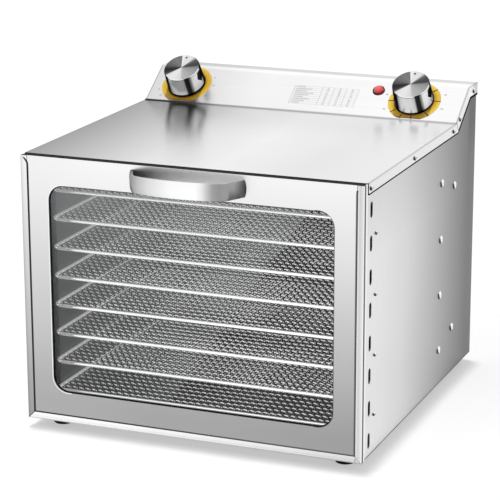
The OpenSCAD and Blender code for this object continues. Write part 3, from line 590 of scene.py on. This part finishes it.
# Painted reflections round the knob, by degrees: on its top and round its side
KNOB_TOP_TONES = [
    (-180, 0.1), (-166, 0.03), (-148, 0.05), (-139, 0.13), (-134, 0.74), (-112, 0.84), (-76, 0.74),
    (-66, 0.5), (-40, 0.44), (-6, 0.34), (8, 0.24), (16, 0.07), (34, 0.09), (50, 0.16), (57, 0.62),
    (66, 0.8), (92, 0.8), (104, 0.95), (108, 0.2), (130, 0.22), (158, 0.17), (180, 0.1)]
KNOB_SIDE_TONES = [
    (-180, 0.03), (-124, 0.03), (-117, 0.6), (-108, 0.9), (-96, 0.97), (-74, 0.92), (-66, 0.7),
    (-62, 0.03), (-50, 0.02), (-44, 0.3), (-38, 0.88), (-6, 0.97), (2, 0.7), (6, 0.03), (40, 0.03),
    (60, 0.5), (100, 0.8), (150, 0.4), (180, 0.03)]
WEDGE_AT = math.radians(-4)  # where round the knob the dark wedge of painted reflection on its side stands
SHEEN_FOOT_X = -13 * MM
SHEEN_FOOT_Z = 57 * MM
SHEEN_SLOPE = 0.7


def spun_metal():
    """A turned knob with painted reflections: radial bands of light and dark on its top, upright ones round
    its side, a dark wedge, and bands by height.
    """
    mat, tree, shader = new_material("spun_metal")
    where, (x, y, z) = position(tree)
    turn = math_node("ARCTAN2", y, x)
    place = spread(turn, -math.pi, math.pi)
    top, side = (ramp(place, [((degrees + 180) / 360, tone) for degrees, tone in stops])
                 for stops in (KNOB_TOP_TONES, KNOB_SIDE_TONES))
    half_wedge = to_number(tone_along(z, [
        (knob_base + 8 * MM, 0.0), (knob_base + 14 * MM, 0.27), (knob_top - 2.6 * MM, 0.18),
        (knob_top - 2.3 * MM, 0.0)]))
    side = drawn(side, below(size_of(minus(turn, WEDGE_AT)), half_wedge), 0.03)
    tone = blend_colours(spread(z, knob_top - 0.5 * MM, knob_top - 0.3 * MM), side, top)
    # Painted shade at the knob's foot, a painted dark band under its bevel and a painted highlight on the
    # bevel
    heights = [(knob_base + up * MM, tone) for up, tone in ((0, 0.02), (2.6, 0.02), (3.1, 0.9), (12, 1.0))]
    heights += [(knob_top - down * MM, tone) for down, tone in (
        (1.9, 0.95), (1.7, 0.32), (1.2, 0.32), (0.95, 1.25), (0.3, 1.25), (0.2, 1.0), (0, 1.0))]
    ray = vector_math("NORMALIZE", vector_math("MULTIPLY", where, (1.0, 1.0, 0.0)))
    streak = noise(ray, 26.0, 4.0)
    rings = add("TexWave", {"Vector": where, "Scale": 900.0}, wave_type="RINGS",
                rings_direction="Z").outputs["Fac"]
    fill(shader, {"Base Color": multiply(multiply(tone, tone_along(z, heights)), between(streak, 0.88, 1.12)),
                  "Roughness": between(streak, 0.3, 0.4), "Metallic": 1.0, "Specular Tint": grey(0.25)})
    bump(shader, rings, 0.15, 0.01 * MM)
    return mat


def dial_print(name, inner, outer):
    """Gloss yellow enamel, darker orange next to the knob, with painted shade along the ring's lower edge."""
    mat, tree, shader = new_material(name)
    where, _ = position(tree)
    away = vector_math("SUBTRACT", where, tuple(knob_places[name.split("_")[0]]))
    up = vector_math("DOT_PRODUCT", away, tuple(slope_up))
    tone = tone_along(vector_math("LENGTH", away), [
        (0.0205, inner), (0.0225, (0.82, 0.5, 0.03, 1)), (0.025, outer), (0.0268, (0.96, 0.66, 0.16, 1))])
    # Painted shade along the ring's lower edge
    lower = tone_along(up, [(-0.0245, (0.3, 0.18, 0.12, 1)), (-0.0225, (0.72, 0.62, 0.62, 1)),
                            (-0.015, (1, 1, 1, 1))])
    fill(shader, {"Base Color": multiply(tone, lower), "Specular IOR Level": 0.25,
                  "Roughness": between(noise(where, 500.0), 0.4, 0.48)})
    return mat


def pane_glass():
    """Clear tempered glass with a painted soft diagonal sheen, a painted reflection, over its upper left."""
    mat, tree, shader = new_material("pane_glass")
    where, (x, _, z) = position(tree)
    # The sheen's edge leans: it moves right by SHEEN_SLOPE for each step up
    edge = minus(x, times(minus(z, SHEEN_FOOT_Z), SHEEN_SLOPE))
    beside = spread(edge, SHEEN_FOOT_X + 0.6 * MM, SHEEN_FOOT_X - 0.6 * MM)
    height = tone_along(z, [(glass_low.z, 0.03), (0.12, 0.05), (0.19, 0.08), (glass_high.z, 0.17)])
    width = tone_along(x, [(glass_low.x, 1.4), (-0.02, 1.0), (0.1, 0.7)])
    sheen = times(beside, to_number(multiply(height, width)))
    # The painted sheen's colour, mottled at random
    sheen_mottle = tone_along(noise(where, 12.0), [(0.3, (0.8, 0.84, 0.85, 1)), (0.7, (0.86, 0.88, 0.89, 1))])
    fill(shader, {"Base Color": sheen_mottle, "Alpha": math_node("ADD", sheen, 0.02), "Roughness": 0.04,
                  "Specular IOR Level": 0.2})
    return mat


def lens_plastic():
    """The lamp's translucent red plastic, paler in the middle."""
    mat, tree, shader = new_material("lens_plastic")
    where, _ = position(tree)
    low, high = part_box("lamp_lens")
    radius = (high.x - low.x) / 2
    tone = tone_along(vector_math("DISTANCE", where, tuple((low + high) / 2)), [
        (0.0, (0.95, 0.14, 0.15, 1)), (0.7 * radius, (0.86, 0.05, 0.06, 1)),
        (1.05 * radius, (0.4, 0.01, 0.02, 1))])
    fill(shader, {"Base Color": tone, "Emission Color": tone, "Emission Strength": 0.2,
                  "Roughness": 0.12, "Coat Weight": 0.5})
    return mat


def bezel_plastic():
    """Black gloss plastic that turns dark red on its front right, as painted light where the lens shines on
    it.
    """
    mat, tree, shader = new_material("bezel_plastic")
    where, (x, y, _) = position(tree)
    low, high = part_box("lamp_bezel")
    glow = spread(minus(y, x), high.y - high.x - 9 * MM, low.y - high.x + 6 * MM)
    fill(shader, {"Base Color": blend_colours(glow, (0.014, 0.01, 0.01, 1), (0.26, 0.012, 0.016, 1)),
                  "Roughness": between(noise(where, 900.0), 0.3, 0.4), "Specular IOR Level": 0.2})
    return mat


def head_steel():
    """Bright screw and rivet heads, with a dark crescent of painted shade on the side that turns down and to
    the front.
    """
    mat, tree, shader = new_material("head_steel")
    where, _ = position(tree)
    turned = tree.nodes.new("ShaderNodeTexCoord").outputs["Normal"]
    down_front = vector_math("DOT_PRODUCT", turned, (0.0, -0.86, -0.51))
    fill(shader, {"Base Color": tone_along(down_front, [(0.0, 0.95), (0.26, 0.9), (0.42, 0.1), (1.0, 0.04)]),
                  "Roughness": between(noise(where, 1200.0), 0.18, 0.28), "Metallic": 1.0})
    return mat


def rack_lines(tone, x, y, z):
    """The racks: painted shade, near black, on the web that stands against the side panel."""
    return drawn(tone, above(size_of(x), 157.7 * MM), 0.012)


knob_base, knob_top = span("timer_knob", timer_at, slope_normal)

dress(steel("cover_steel", "X", TOP_TONES, "X", rough=0.21, hair=0.03, depth=0.04, paint=cover_lines,
            glance=0.3), "top_cover")
dress(steel("slope_steel", "X", SLOPE_TONES, "X", rough=0.32, hair=0.03, depth=0.06,
            paint=control_lines, glance=0.3), "control_cover")
dress(steel("side_steel", "Y", SIDE_TONES, "Z", hair=0.04, paint=side_lines, glance=0.3),
      "left_side_panel", "right_side_panel")
dress(steel("door_steel", "Z", DOOR_TONES, "Z", hair=0.006, depth=0.02, paint=panel_lines, glance=0.3),
      "door_panel")
dress(steel("rim_steel", "Z", RIM_TONES, "Z", rough=0.4, hair=0.015, depth=0.04, paint=rim_lines,
            glance=0.3), "door_frame")
dress(steel("back_steel", "X", BACK_TONES, "Z", rough=0.32), "rear_panel")
# Painted shade inside the cabinet: the fan baffle, motor bracket and heater clips are painted dark
dress(steel("inner_steel", "X", INNER_TONES, "X", rough=0.34), "fan_baffle", "motor_bracket",
      "heater_clips")
dress(steel("liner_steel", "Z", [(0.0, 0.5), (0.3, 0.6)], "X", rough=0.34), "glass_retainer")
dress(steel("pan_steel", "Y", [(-0.16, 0.3), (0.18, 0.18)], "X", rough=0.34), "base_pan")
dress(steel("rack_steel", "Y", RACK_TONES, "Y", rough=0.32, paint=rack_lines), "left_rack", "right_rack")
# The chrome tray frames and fan shaft carry a painted glow, for the light they catch inside the dark box
dress(steel("chrome", "Z", [(0.0, 0.92), (0.3, 0.94)], "X", rough=0.14, hair=0.02, depth=0.02,
            glow=0.3), "fan_shaft", *("tray_frame_" + k for k in each_tray))
# Lit and shaded copies of the wire: the lit one has a painted glow
lit_wire = steel("lit_wire", "Y", [(-0.15, 0.8), (0.1, 0.6)], "X", rough=0.24, hair=0.06,
                    depth=0.05, glow=0.34)
dress(lit_wire, *("tray_mesh_" + k for k in each_tray))
# The shaded copy is painted shade on the weave's rising crimps and straight wires
shaded_wire = steel("shaded_wire", "Y", [(-0.15, 0.06), (0.1, 0.05)], "Y", rough=0.36, hair=0.06, depth=0.05)
dress(steel("bright_steel", "Z", [(0.0, 0.72), (0.3, 0.86)], "X", rough=0.25, hair=0.05),
      "cover_screws", "rack_screws", "side_rivets", "rear_screws", "handle_screws", "door_handle",
      "timer_knob", "thermostat_knob")
dress(steel("dull_steel", "Z", [(0.0, 0.4), (0.3, 0.46)], "Z", rough=0.38), "hinge_brackets",
      "hinge_pins", "timer_spindle", "thermostat_spindle", "foot_screws")
dress(steel("fan_metal", "Z", [(0.07, 0.4), (0.22, 0.52)], "X"), "fan_rotor")
dress(plain("rubber", (0.01, 0.01, 0.011), 0.75, scale=1400, variation=0.2, depth=0.2, gloss=0.12),
      "feet", "door_seal", "window_gasket")
dress(plain("black_plastic", (0.022, 0.021, 0.021), 0.4, scale=1100, variation=0.15), "cable_gland")
dress(plain("motor_paint", (0.1, 0.1, 0.11), 0.45, scale=700, depth=0.25), "fan_motor")
dress(plain("heater_sheath", (0.16, 0.15, 0.14), 0.42, metallic=1.0, scale=500), "heating_element")
dress(plain("control_plastic", (0.07, 0.07, 0.075), 0.5), "timer_body", "thermostat_body")
dress(plain("terminal_plastic", (0.82, 0.8, 0.74), 0.45), "terminal_block")
dress(plain("magnet_grey", (0.12, 0.12, 0.13), 0.55, scale=600), "catch_magnets")
dress(pane_glass(), "window_pane")
dress(bezel_plastic(), "lamp_bezel")
dress(lens_plastic(), "lamp_lens")
dress(dial_print("timer_dial", (0.55, 0.26, 0.02, 1), (0.93, 0.6, 0.03, 1)), "timer_dial")
dress(dial_print("thermostat_dial", (0.75, 0.4, 0.02, 1), (0.98, 0.7, 0.04, 1)), "thermostat_dial")
ink = plain("ink", (0.02, 0.018, 0.02), 0.55, scale=1800, variation=0.2, depth=0.05)
grey_ink = plain("grey_ink", (0.22, 0.22, 0.25), 0.55, scale=1800, variation=0.1, depth=0.05)
pale_ink = plain("pale_ink", (0.48, 0.48, 0.5), 0.55, scale=1800, variation=0.1, depth=0.05)
screw_steel = head_steel()

# The top cover doesn't mirror the coloured dials and the lamp
for name in ("timer_dial", "thermostat_dial", "thermostat_spindle", "lamp_lens", "lamp_bezel"):
    nodes[name].visible_glossy = False


# ---- Folded sheets: a small round on every edge ----

# The modifiers weld, flatten and bevel the sheets, and leave their own meshes alone
for name in ("top_cover", "control_cover"):
    modifiers = nodes[name].modifiers
    modifiers.new("weld", "WELD").merge_threshold = 0.002 * MM
    flat = modifiers.new("flat", "DECIMATE")
    flat.decimate_type = "DISSOLVE"
    flat.angle_limit = math.radians(0.6)
    bevel = modifiers.new("bevel", "BEVEL")
    bevel.width = 0.45 * MM
    bevel.segments = 3
    bevel.limit_method = "ANGLE"
    bevel.angle_limit = math.radians(40)


# ---- Knobs ----

KNOB_DRAFT = 1.2 * MM
MARK_RADIUS = 15 * MM
TOP_RINGS = 14
RING_DEPTH = 0.05 * MM
KNOB_SEGMENTS = 128
MARK_SEGMENTS = 24


def knob_mesh():
    """A tapered drum on a thin flange, with a groove above it, a bevelled edge and a finely ringed top."""
    r = span("timer_knob", timer_at, Vector((1, 0, 0)))[1]
    foot_r = r - 0.3 * MM
    top_r = foot_r - KNOB_DRAFT
    flat_r = top_r - 1.0 * MM
    up = [(0.3 * foot_r, 0), (r - 0.2 * MM, 0), (r, 0.2 * MM), (r, 1.0 * MM), (r - 0.2 * MM, 1.2 * MM),
          (foot_r - 0.4 * MM, 1.25 * MM), (foot_r - 0.4 * MM, 1.8 * MM), (foot_r - 0.1 * MM, 1.85 * MM),
          (foot_r, 2.05 * MM)]
    down = [(top_r, 1.1 * MM), (top_r - 0.12 * MM, 0.8 * MM), (top_r - 0.75 * MM, 0.1 * MM), (flat_r, 0)]
    down += [(flat_r * (1 - i / TOP_RINGS), RING_DEPTH if i % 2 else 0) for i in range(1, TOP_RINGS)]
    profile = [(at_r, knob_base + height) for at_r, height in up]
    profile += [(at_r, knob_top - drop) for at_r, drop in down + [(0, 0)]]
    return lathe(profile, KNOB_SEGMENTS)


def knob_mark():
    """A small round mark that stands on the knob's top near its rim."""
    profile = [(1.2 * MM, -0.02 * MM), (1.2 * MM, 0.06 * MM), (1.0 * MM, 0.1 * MM), (0, 0.1 * MM)]
    return lathe(profile, MARK_SEGMENTS)


metal = spun_metal()
for body, place in knob_places.items():
    at = facing(place, slope_normal)
    drum = piece(f"{body}_knob_turned", *knob_mesh(), body, "knob_metal", metal,
                 replaced=[f"{body}_knob"], at=at)
    sharpen(drum, 30)
    # The cover mirrors the left knob alone
    drum.visible_glossy = body == "timer"
    piece(f"{body}_knob_mark", *knob_mark(), body, "black_plastic", ink,
          at=at @ Matrix.Translation((0.5 * MM, MARK_RADIUS, knob_top)))


# ---- Screws and rivets ----

def carved(shape, cutters):
    """A (verts, faces) shape with the cutters taken out of it, by an exact boolean."""
    def as_object(verts, faces):
        data = bpy.data.meshes.new("carving")
        data.from_pydata([tuple(v) for v in verts], [], faces)
        return placed("carving", data)

    body = as_object(*shape)
    tools = [as_object(*cutter) for cutter in cutters]
    for tool in tools:
        cut = body.modifiers.new("cut", "BOOLEAN")
        cut.operation = "DIFFERENCE"
        cut.solver = "EXACT"
        cut.object = tool
    evaluated = body.evaluated_get(bpy.context.evaluated_depsgraph_get())
    data = evaluated.to_mesh()
    verts = [v.co.copy() for v in data.vertices]
    faces = [tuple(p.vertices) for p in data.polygons]
    evaluated.to_mesh_clear()
    for mesh in [obj.data for obj in (body, *tools)]:
        bpy.data.meshes.remove(mesh)  # and with it the object that has it
    return verts, faces


HEAD = 1.6 * MM  # height of every head above its seat
SUNK = 0.5 * MM  # how far it goes down into the seat
RECESS = 0.85 * MM  # depth of the cross
HEAD_SEGMENTS = 28
TURN = 53  # degrees from one head's cross to the next one's


def dome(r, rim, steps):
    """A pan head's profile: an upright rim and a dome on it, with its foot a little below Z = 0."""
    angles = (math.radians(90 * i / steps) for i in range(1, steps))
    arc = [(r * math.cos(a), rim + (HEAD - rim) * math.sin(a)) for a in angles]
    return [(0, -SUNK), (0.8 * r, -SUNK), (0.97 * r, 0), (r, 0.12 * rim), (r, rim)] + arc + [(0, HEAD)]


def cross_screw(r):
    """A pan head with a cross recess."""
    arm, width = 0.58 * r, 0.13 * r
    arms = [block((-x, -y, HEAD - RECESS), (x, y, HEAD + MM)) for x, y in ((arm, width), (width, arm))]
    return carved(lathe(dome(r, 0.7 * MM, 5), HEAD_SEGMENTS), arms)


def rivet_head(r):
    """A low domed head with a small dimple in its middle."""
    profile = dome(r, 0.2 * MM, 8)[:-1]
    profile += [(0.15 * r, HEAD - 0.02 * MM), (0.12 * r, HEAD - 0.2 * MM), (0, HEAD - 0.25 * MM)]
    return lathe(profile, HEAD_SEGMENTS)


def head_places(name):
    """Frames on the seats of a node's screw heads, each turned a little differently."""
    frames = []
    for i, (low, high) in enumerate(clusters(name)):
        seat = (low + high) / 2
        if name == "rear_screws":
            out = Vector((0, 1, 0))
            seat.y = high.y - HEAD
        else:
            out = Vector((math.copysign(1, seat.x), 0, 0))
            seat.x = high.x - HEAD if seat.x > 0 else low.x + HEAD
        frames.append(facing(seat, out) @ Matrix.Rotation(math.radians(i * TURN % 90), 4, "Z"))
    return frames


for name, shape in (("cover_screws", cross_screw(2.6 * MM)), ("rack_screws", cross_screw(2.0 * MM)),
                    ("rear_screws", cross_screw(2.6 * MM)), ("side_rivets", rivet_head(4.2 * MM))):
    heads = piece(name[:-1] + "_heads", *joined([(shape, at) for at in head_places(name)]),
                  "cabinet", "screw_steel", screw_steel, replaced=[name])
    sharpen(heads, 40)


# ---- Trays ----

TRAY_ROUND = 11.6 * MM
WEAVE_ROW = 10.4 * MM  # from one crimped wire to the next
WEAVE_WAVE = 7 * MM  # length of one crimp
WEFT_R = 0.78 * MM
WEFT_SIDES = 5
WARP_R = 0.4 * MM
WARP_SIDES = 4
WAVE = 0.35 * (WEFT_R + WARP_R)  # height of a crimp above its middle
WAVE_STEPS = 8  # straight pieces in one crimp
STEEP = 0.6 * WAVE  # a crimp's stretch that rises more than this is painted in shade


def tube(points, r, sides):
    """(verts, faces) of a closed round tube through points that lie in one XZ or YZ plane."""
    rings = []
    for i, p in enumerate(points):
        before, after = points[max(i - 1, 0)], points[min(i + 1, len(points) - 1)]
        along = (after - before).normalized()
        across = Vector((0, 0, 1)).cross(along).normalized()
        up = along.cross(across)
        rings.append([p + across * (r * math.cos(a)) + up * (r * math.sin(a))
                      for a in (2 * math.pi * (k + 0.5) / sides for k in range(sides))])
    return lofted(rings)


def woven_mesh(half_x, y0, y1, rod):
    """(verts, faces, shaded face numbers) of a wire mesh that lies within a tray's rod.

    Crimped wires cross the tray in step, over and under fine straight wires. The straight wires and
    the rising parts of the crimps are the dark faces, painted in shade.
    """
    inner_x = half_x - rod

    def corner_cut(inward):
        """How much shorter a wire is at this distance from the rod beside it, for the round corner."""
        return TRAY_ROUND - math.sqrt(TRAY_ROUND ** 2 - max(TRAY_ROUND - inward, 0) ** 2)

    wires, dark = [], []
    rows = int((y1 - y0 - 2 * rod) / WEAVE_ROW)
    for row in range(rows):
        y = (y0 + y1) / 2 + (row - (rows - 1) / 2) * WEAVE_ROW
        length = inner_x - corner_cut(min(y1 - y, y - y0) - rod)
        count = int(2 * length / WEAVE_WAVE * WAVE_STEPS)
        along = [-length + 2 * length * i / count for i in range(count + 1)]
        points = [Vector((x, y, WAVE * math.cos(2 * math.pi * x / WEAVE_WAVE))) for x in along]
        wires.append((tube(points, WEFT_R, WEFT_SIDES), None))
        for start, end in zip(points, points[1:]):
            dark += [end.z - start.z > STEEP] * WEFT_SIDES
        dark += [False, False]
    columns = int(inner_x / (WEAVE_WAVE / 2))
    for column in range(-columns, columns + 1):
        x = column * WEAVE_WAVE / 2
        cut = rod + corner_cut(inner_x - abs(x))
        straight = tube([Vector((x, y0 + cut, 0)), Vector((x, y1 - cut, 0))], WARP_R, WARP_SIDES)
        wires.append((straight, None))
        dark += [True] * len(straight[1])
    return (*joined(wires), [i for i, is_dark in enumerate(dark) if is_dark])


weave = None
for k in each_tray:
    low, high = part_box("tray_frame_" + k)
    rides = {"body": "tray_" + k, "slot": "mesh_wire", "replaced": ["tray_mesh_" + k],
             "at": Matrix.Translation((0, 0, (low.z + high.z) / 2))}
    if weave:
        piece(f"tray_{k}_weave", None, None, mat=None, data=weave, **rides)
        continue
    verts, faces, dark = woven_mesh(high.x, low.y, high.y, (high.z - low.z) / 2)
    weave = piece(f"tray_{k}_weave", verts, faces, mat=lit_wire, **rides).data
    # The shaded copy goes on the faces painted in shade
    weave.materials.append(shaded_wire)
    for i in dark:
        weave.polygons[i].material_index = 1


# ---- Door handle ----

def handle_mesh():
    """(verts, faces, inner face numbers) of a bowed strap with a crowned section and rounded long edges.

    From the middle outwards the strap follows a wide arc (the bow), a tight one (the bend) and a
    straight leg to the door. Angles are counted from straight ahead.
    """
    low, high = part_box("door_handle")
    trim = 1.6 * MM
    height = high.z - low.z - trim
    middle_z = (low.z + high.z) / 2
    door_y = panel_low.y
    thick, bend, crown = 2.0 * MM, 14 * MM, 24 * MM
    soft, soft_share = 0.7 * MM, 0.7
    steps, bow_steps, bend_steps, leg_steps = 14, 14, 12, 6
    leg, bow = math.radians(64), math.radians(14)
    across = high.x - bend * (math.sin(leg) - math.sin(bow))
    out = door_y - low.y - bend * (math.cos(bow) - math.cos(leg))
    bow_r = (across - out / math.tan(leg)) / (math.sin(bow) - (1 - math.cos(bow)) / math.tan(leg))
    bow_at = Vector((0, low.y + bow_r))
    bend_at = bow_at + (bow_r - bend) * Vector((math.sin(bow), -math.cos(bow)))

    def path(angle, inset):
        outward = Vector((math.sin(angle), -math.cos(angle)))
        if angle <= bow:
            return bow_at + (bow_r - inset) * outward
        return bend_at + (bend - inset) * outward

    def foot(inset):
        end = path(leg, inset)
        return end + (door_y - end.y) / math.sin(leg) * Vector((math.cos(leg), math.sin(leg)))

    section = []
    for side in (0, 1):
        r = crown - side * thick
        for i in range(steps + 1):
            z = (i / steps - 0.5) * (height - soft_share * soft) * (1 - 2 * side)
            edge = max(abs(z) - (height / 2 - soft), 0) / soft
            round_in = soft_share * soft * (1 - math.sqrt(1 - edge * edge)) * (1 - 2 * side)
            section.append((crown - math.sqrt(r * r - z * z) + round_in, z, side))
    stations = [bow * i / bow_steps for i in range(bow_steps)]
    stations += [bow + (leg - bow) * i / bend_steps for i in range(bend_steps + 1)]

    def place(point, z):
        return Vector((*point, middle_z + z))

    right = [[place(path(angle, inset), z) for inset, z, _ in section] for angle in stations]
    feet = [place(foot(inset), z) for inset, z, _ in section]
    right += [[start.lerp(end, step / leg_steps) for start, end in zip(right[-1], feet)]
              for step in range(1, leg_steps + 1)]
    left = [[Vector((-x, y, z)) for x, y, z in ring] for ring in right[:0:-1]]
    verts, faces = lofted(left + right, clockwise=True)
    n = len(section)
    inner = [i for i in range(len(faces) - 2) if section[i % n][2] == 1 and section[(i + 1) % n][2] == 1]
    return verts, faces, inner


# Painted reflections and shade along the strap by X: on its outer faces, and on its inner faces, which are
# darker as painted shade
HANDLE_OUT = [
    (-0.0589, 0.02), (-0.0555, 0.04), (-0.0533, 0.12), (-0.0489, 0.24), (-0.0446, 0.36), (-0.0385, 0.52),
    (-0.027, 0.72), (-0.005, 0.95), (0.02, 1.0), (0.0259, 0.84), (0.031, 0.58), (0.036, 0.36),
    (0.042, 0.3), (0.052, 0.36), (0.0566, 0.12), (0.0589, 0.03)]
HANDLE_IN = [(-0.0585, 0.02), (-0.05, 0.02), (-0.045, 0.1), (-0.04, 0.26), (-0.028, 0.46),
             (-0.01, 0.66), (0.015, 0.84), (0.04, 0.92), (0.0585, 0.85)]
verts, faces, inner = handle_mesh()
handle_front = steel("handle_front", "X", HANDLE_OUT, "XY", rough=0.38, hair=0.015, depth=0.03, glance=0.0)
handle_back = steel("handle_back", "X", HANDLE_IN, "XY", rough=0.55, hair=0.01, depth=0.0)
strap = piece("door_handle_strap", verts, faces, "door", "handle_steel", handle_front,
              replaced=["door_handle"])
strap.data.materials.append(handle_back)
for i in inner:
    strap.data.polygons[i].material_index = 1
sharpen(strap, 50)
strap.visible_shadow = False


# ---- Control face: dial marks, numbers and a ruled table ----

PRINT = 0.03 * MM  # how far a print stands up
BURIED = 0.02 * MM
DIAL_CUT = 24.5 * MM  # the dials are cut off this far below their middle
GUIDE_ROWS = 9
NUMBER_H = 3.0 * MM
GUIDE_NUMBER_H = 2.5 * MM


def bar(x0, s0, x1, s1, width, lift=0.0):
    """A thin printed stroke between two points of a face, whose own X and Y run across and up it."""
    start, end = Vector((x0, s0, 0)), Vector((x1, s1, 0))
    along = (end - start).normalized()
    across = Vector((-along.y, along.x, 0)) * width / 2
    corners = [start - across, end - across, end + across, start + across]
    verts = [(c.x, c.y, z) for z in (lift - BURIED, lift + PRINT) for c in corners]
    return verts, [(3, 2, 1, 0), (4, 5, 6, 7), (0, 1, 5, 4), (1, 2, 6, 5), (2, 3, 7, 6), (3, 0, 4, 7)]


def printed_bars(name, bars, ink_used, at):
    return piece(name, *joined([(stroke, None) for stroke in bars]), "cabinet", "black_plastic", ink_used,
                 at=at, smooth=False)


def printed_text(name, words, at, size, ink_used):
    """Plain numbers printed on a face."""
    curve = bpy.data.curves.new(name, "FONT")
    curve.body = words
    curve.size = size
    curve.align_x = curve.align_y = "CENTER"
    curve.extrude = PRINT
    curve.resolution_u = 3
    curve.materials.append(ink_used)
    rider(name, curve, "cabinet", at).visible_glossy = False


def dial_marks(body, angles, r0, r1, width, ink_used, numbers, number_r):
    """Radial strokes on a dial's ring and (number, angle) pairs round it."""
    place = knob_places[body]
    at = facing(place, slope_normal)
    lift = span(f"{body}_dial", place, slope_normal)[1]
    strokes = []
    for a in map(math.radians, angles):
        reach = min(r1, DIAL_CUT / max(-math.sin(a), 0.01))
        c, s = math.cos(a), math.sin(a)
        strokes.append(bar(r0 * c, r0 * s, reach * c, reach * s, width, lift))
    printed_bars(f"{body}_dial_marks", strokes, ink_used, at)
    for i, (words, degrees) in enumerate(numbers):
        a = math.radians(degrees)
        spot = at @ Matrix.Translation((number_r * math.cos(a), number_r * math.sin(a), 0))
        printed_text(f"{body}_number_{i + 1}", words, spot, NUMBER_H, ink)


TIMER_MARKS = list(range(-85, 60, 6)) + list(range(120, 271, 6))
TEMP_MARKS = [75, 43, 5, -44, -84, -112, -140, -176, 150]
dial_marks("timer", TIMER_MARKS, r0=0.0246, r1=0.0272, width=0.22 * MM, ink_used=grey_ink, number_r=0.0308,
           numbers=[("3", 24), ("6", 2), ("9", -30), ("0", 200), ("15", -142)])
dial_marks("thermostat", TEMP_MARKS, r0=0.0208, r1=0.0275, width=1.3 * MM, ink_used=ink, number_r=0.0322,
           numbers=[("70", 22), ("60", -14), ("40", 168), ("30", 206)])


def guide_table():
    """A ruled table of plain numbers in the middle of the control face, with grey bars for its words."""
    left, right, bottom, top = -13 * MM, 58 * MM, -15.5 * MM, 10.5 * MM
    at = facing(Vector((0, *timer_at.yz)), slope_normal)
    step = (top - bottom) / GUIDE_ROWS
    columns = [left, left + 31 * MM, left + 44 * MM, left + 57.5 * MM, right]
    rules = [bar(left, bottom + i * step, right, bottom + i * step, 0.22 * MM) for i in range(GUIDE_ROWS + 1)]
    rules += [bar(x, bottom, x, top, 0.4 * MM) for x in columns]
    ruled = printed_bars("guide_table_rules", rules, pale_ink, at)
    middles = [bottom + (row + 0.5) * step for row in range(GUIDE_ROWS)]
    for i, (x0, x1) in enumerate(zip(columns[1:], columns[2:])):
        for row, s in enumerate(middles):
            value = str(35 + (7 * row + 5 * i) % 36)
            spot = at @ Matrix.Translation(((x0 + x1) / 2, s, 0))
            printed_text(f"guide_{i + 1}_{row + 1}", value, spot, GUIDE_NUMBER_H, grey_ink)
    start = left + 2 * MM
    barred = printed_bars("guide_table_bars", [
        bar(start, s, start + (9 + (row * 5) % 13) * MM, s, 0.9 * MM) for row, s in enumerate(middles)],
        pale_ink, at)
    ruled.visible_glossy = barred.visible_glossy = False


guide_table()


# ---- Floor, light and camera ----

FLOOR_GLOW = 0.46  # what the floor adds where it is looked at, so that it comes out near white
WORLD_LIGHT = 0.42


def looked_at(tree):
    """1 for the camera's rays and for those that it sends on by mirroring and through glass, else 0."""
    path = tree.nodes.new("ShaderNodeLightPath").outputs
    return larger(path["Is Camera Ray"], larger(path["Is Glossy Ray"], path["Is Transmission Ray"]))


def stage():
    bpy.ops.mesh.primitive_plane_add(size=6)
    floor = bpy.context.object
    floor.name = "floor"
    mat, tree, shader = new_material("floor")
    fill(shader, {"Base Color": grey(0.6), "Roughness": 0.9, "Specular IOR Level": 0.0})
    glow = add("Emission", {"Color": grey(1.0), "Strength": times(looked_at(tree), FLOOR_GLOW)})
    lit = add("AddShader", {0: shader.outputs[0], 1: glow.outputs[0]})
    fill(tree.nodes["Material Output"], {"Surface": lit.outputs[0]})
    floor.data.materials.append(mat)


def world():
    made = bpy.context.scene.world = bpy.data.worlds.new("studio")
    made.use_nodes = True
    tree = made.node_tree
    fill(tree.nodes["Background"], {
        "Color": grey(1.0), "Strength": spread(looked_at(tree), 0.0, 1.0, WORLD_LIGHT, 1.0)})


def soft_sun(name, away, spread_degrees, strength):
    """A broad, even light from the direction of away, which metal doesn't mirror."""
    lamp = bpy.data.lights.new(name, "SUN")
    lamp.angle = math.radians(spread_degrees)
    lamp.energy = strength
    obj = placed(name, lamp)
    obj.rotation_euler = Vector(away).to_track_quat("Z", "Y").to_euler()
    obj.visible_glossy = False


def camera():
    data = bpy.data.cameras.new("camera")
    data.lens = 151.3
    data.sensor_width = 36
    cam = placed("camera", data)
    target, away = Vector((0.00162, -0.01875, 0.15912)), Vector((0.36236, -0.89285, 0.26741))
    distance, roll = 2.0922, math.radians(-0.16)
    cam.location = target + distance * away
    turned = (-away).to_track_quat("-Z", "Y").to_matrix()
    cam.rotation_euler = (turned @ Matrix.Rotation(roll, 3, "Z")).to_euler()
    bpy.context.scene.camera = cam


stage()
world()
soft_sun("key", (-0.35, -0.45, 0.82), spread_degrees=25, strength=0.4)
soft_sun("overhead", (-0.03, 0.018, 1.0), spread_degrees=3, strength=1.45)
camera()
bpy.context.scene.view_settings.view_transform = "Standard"
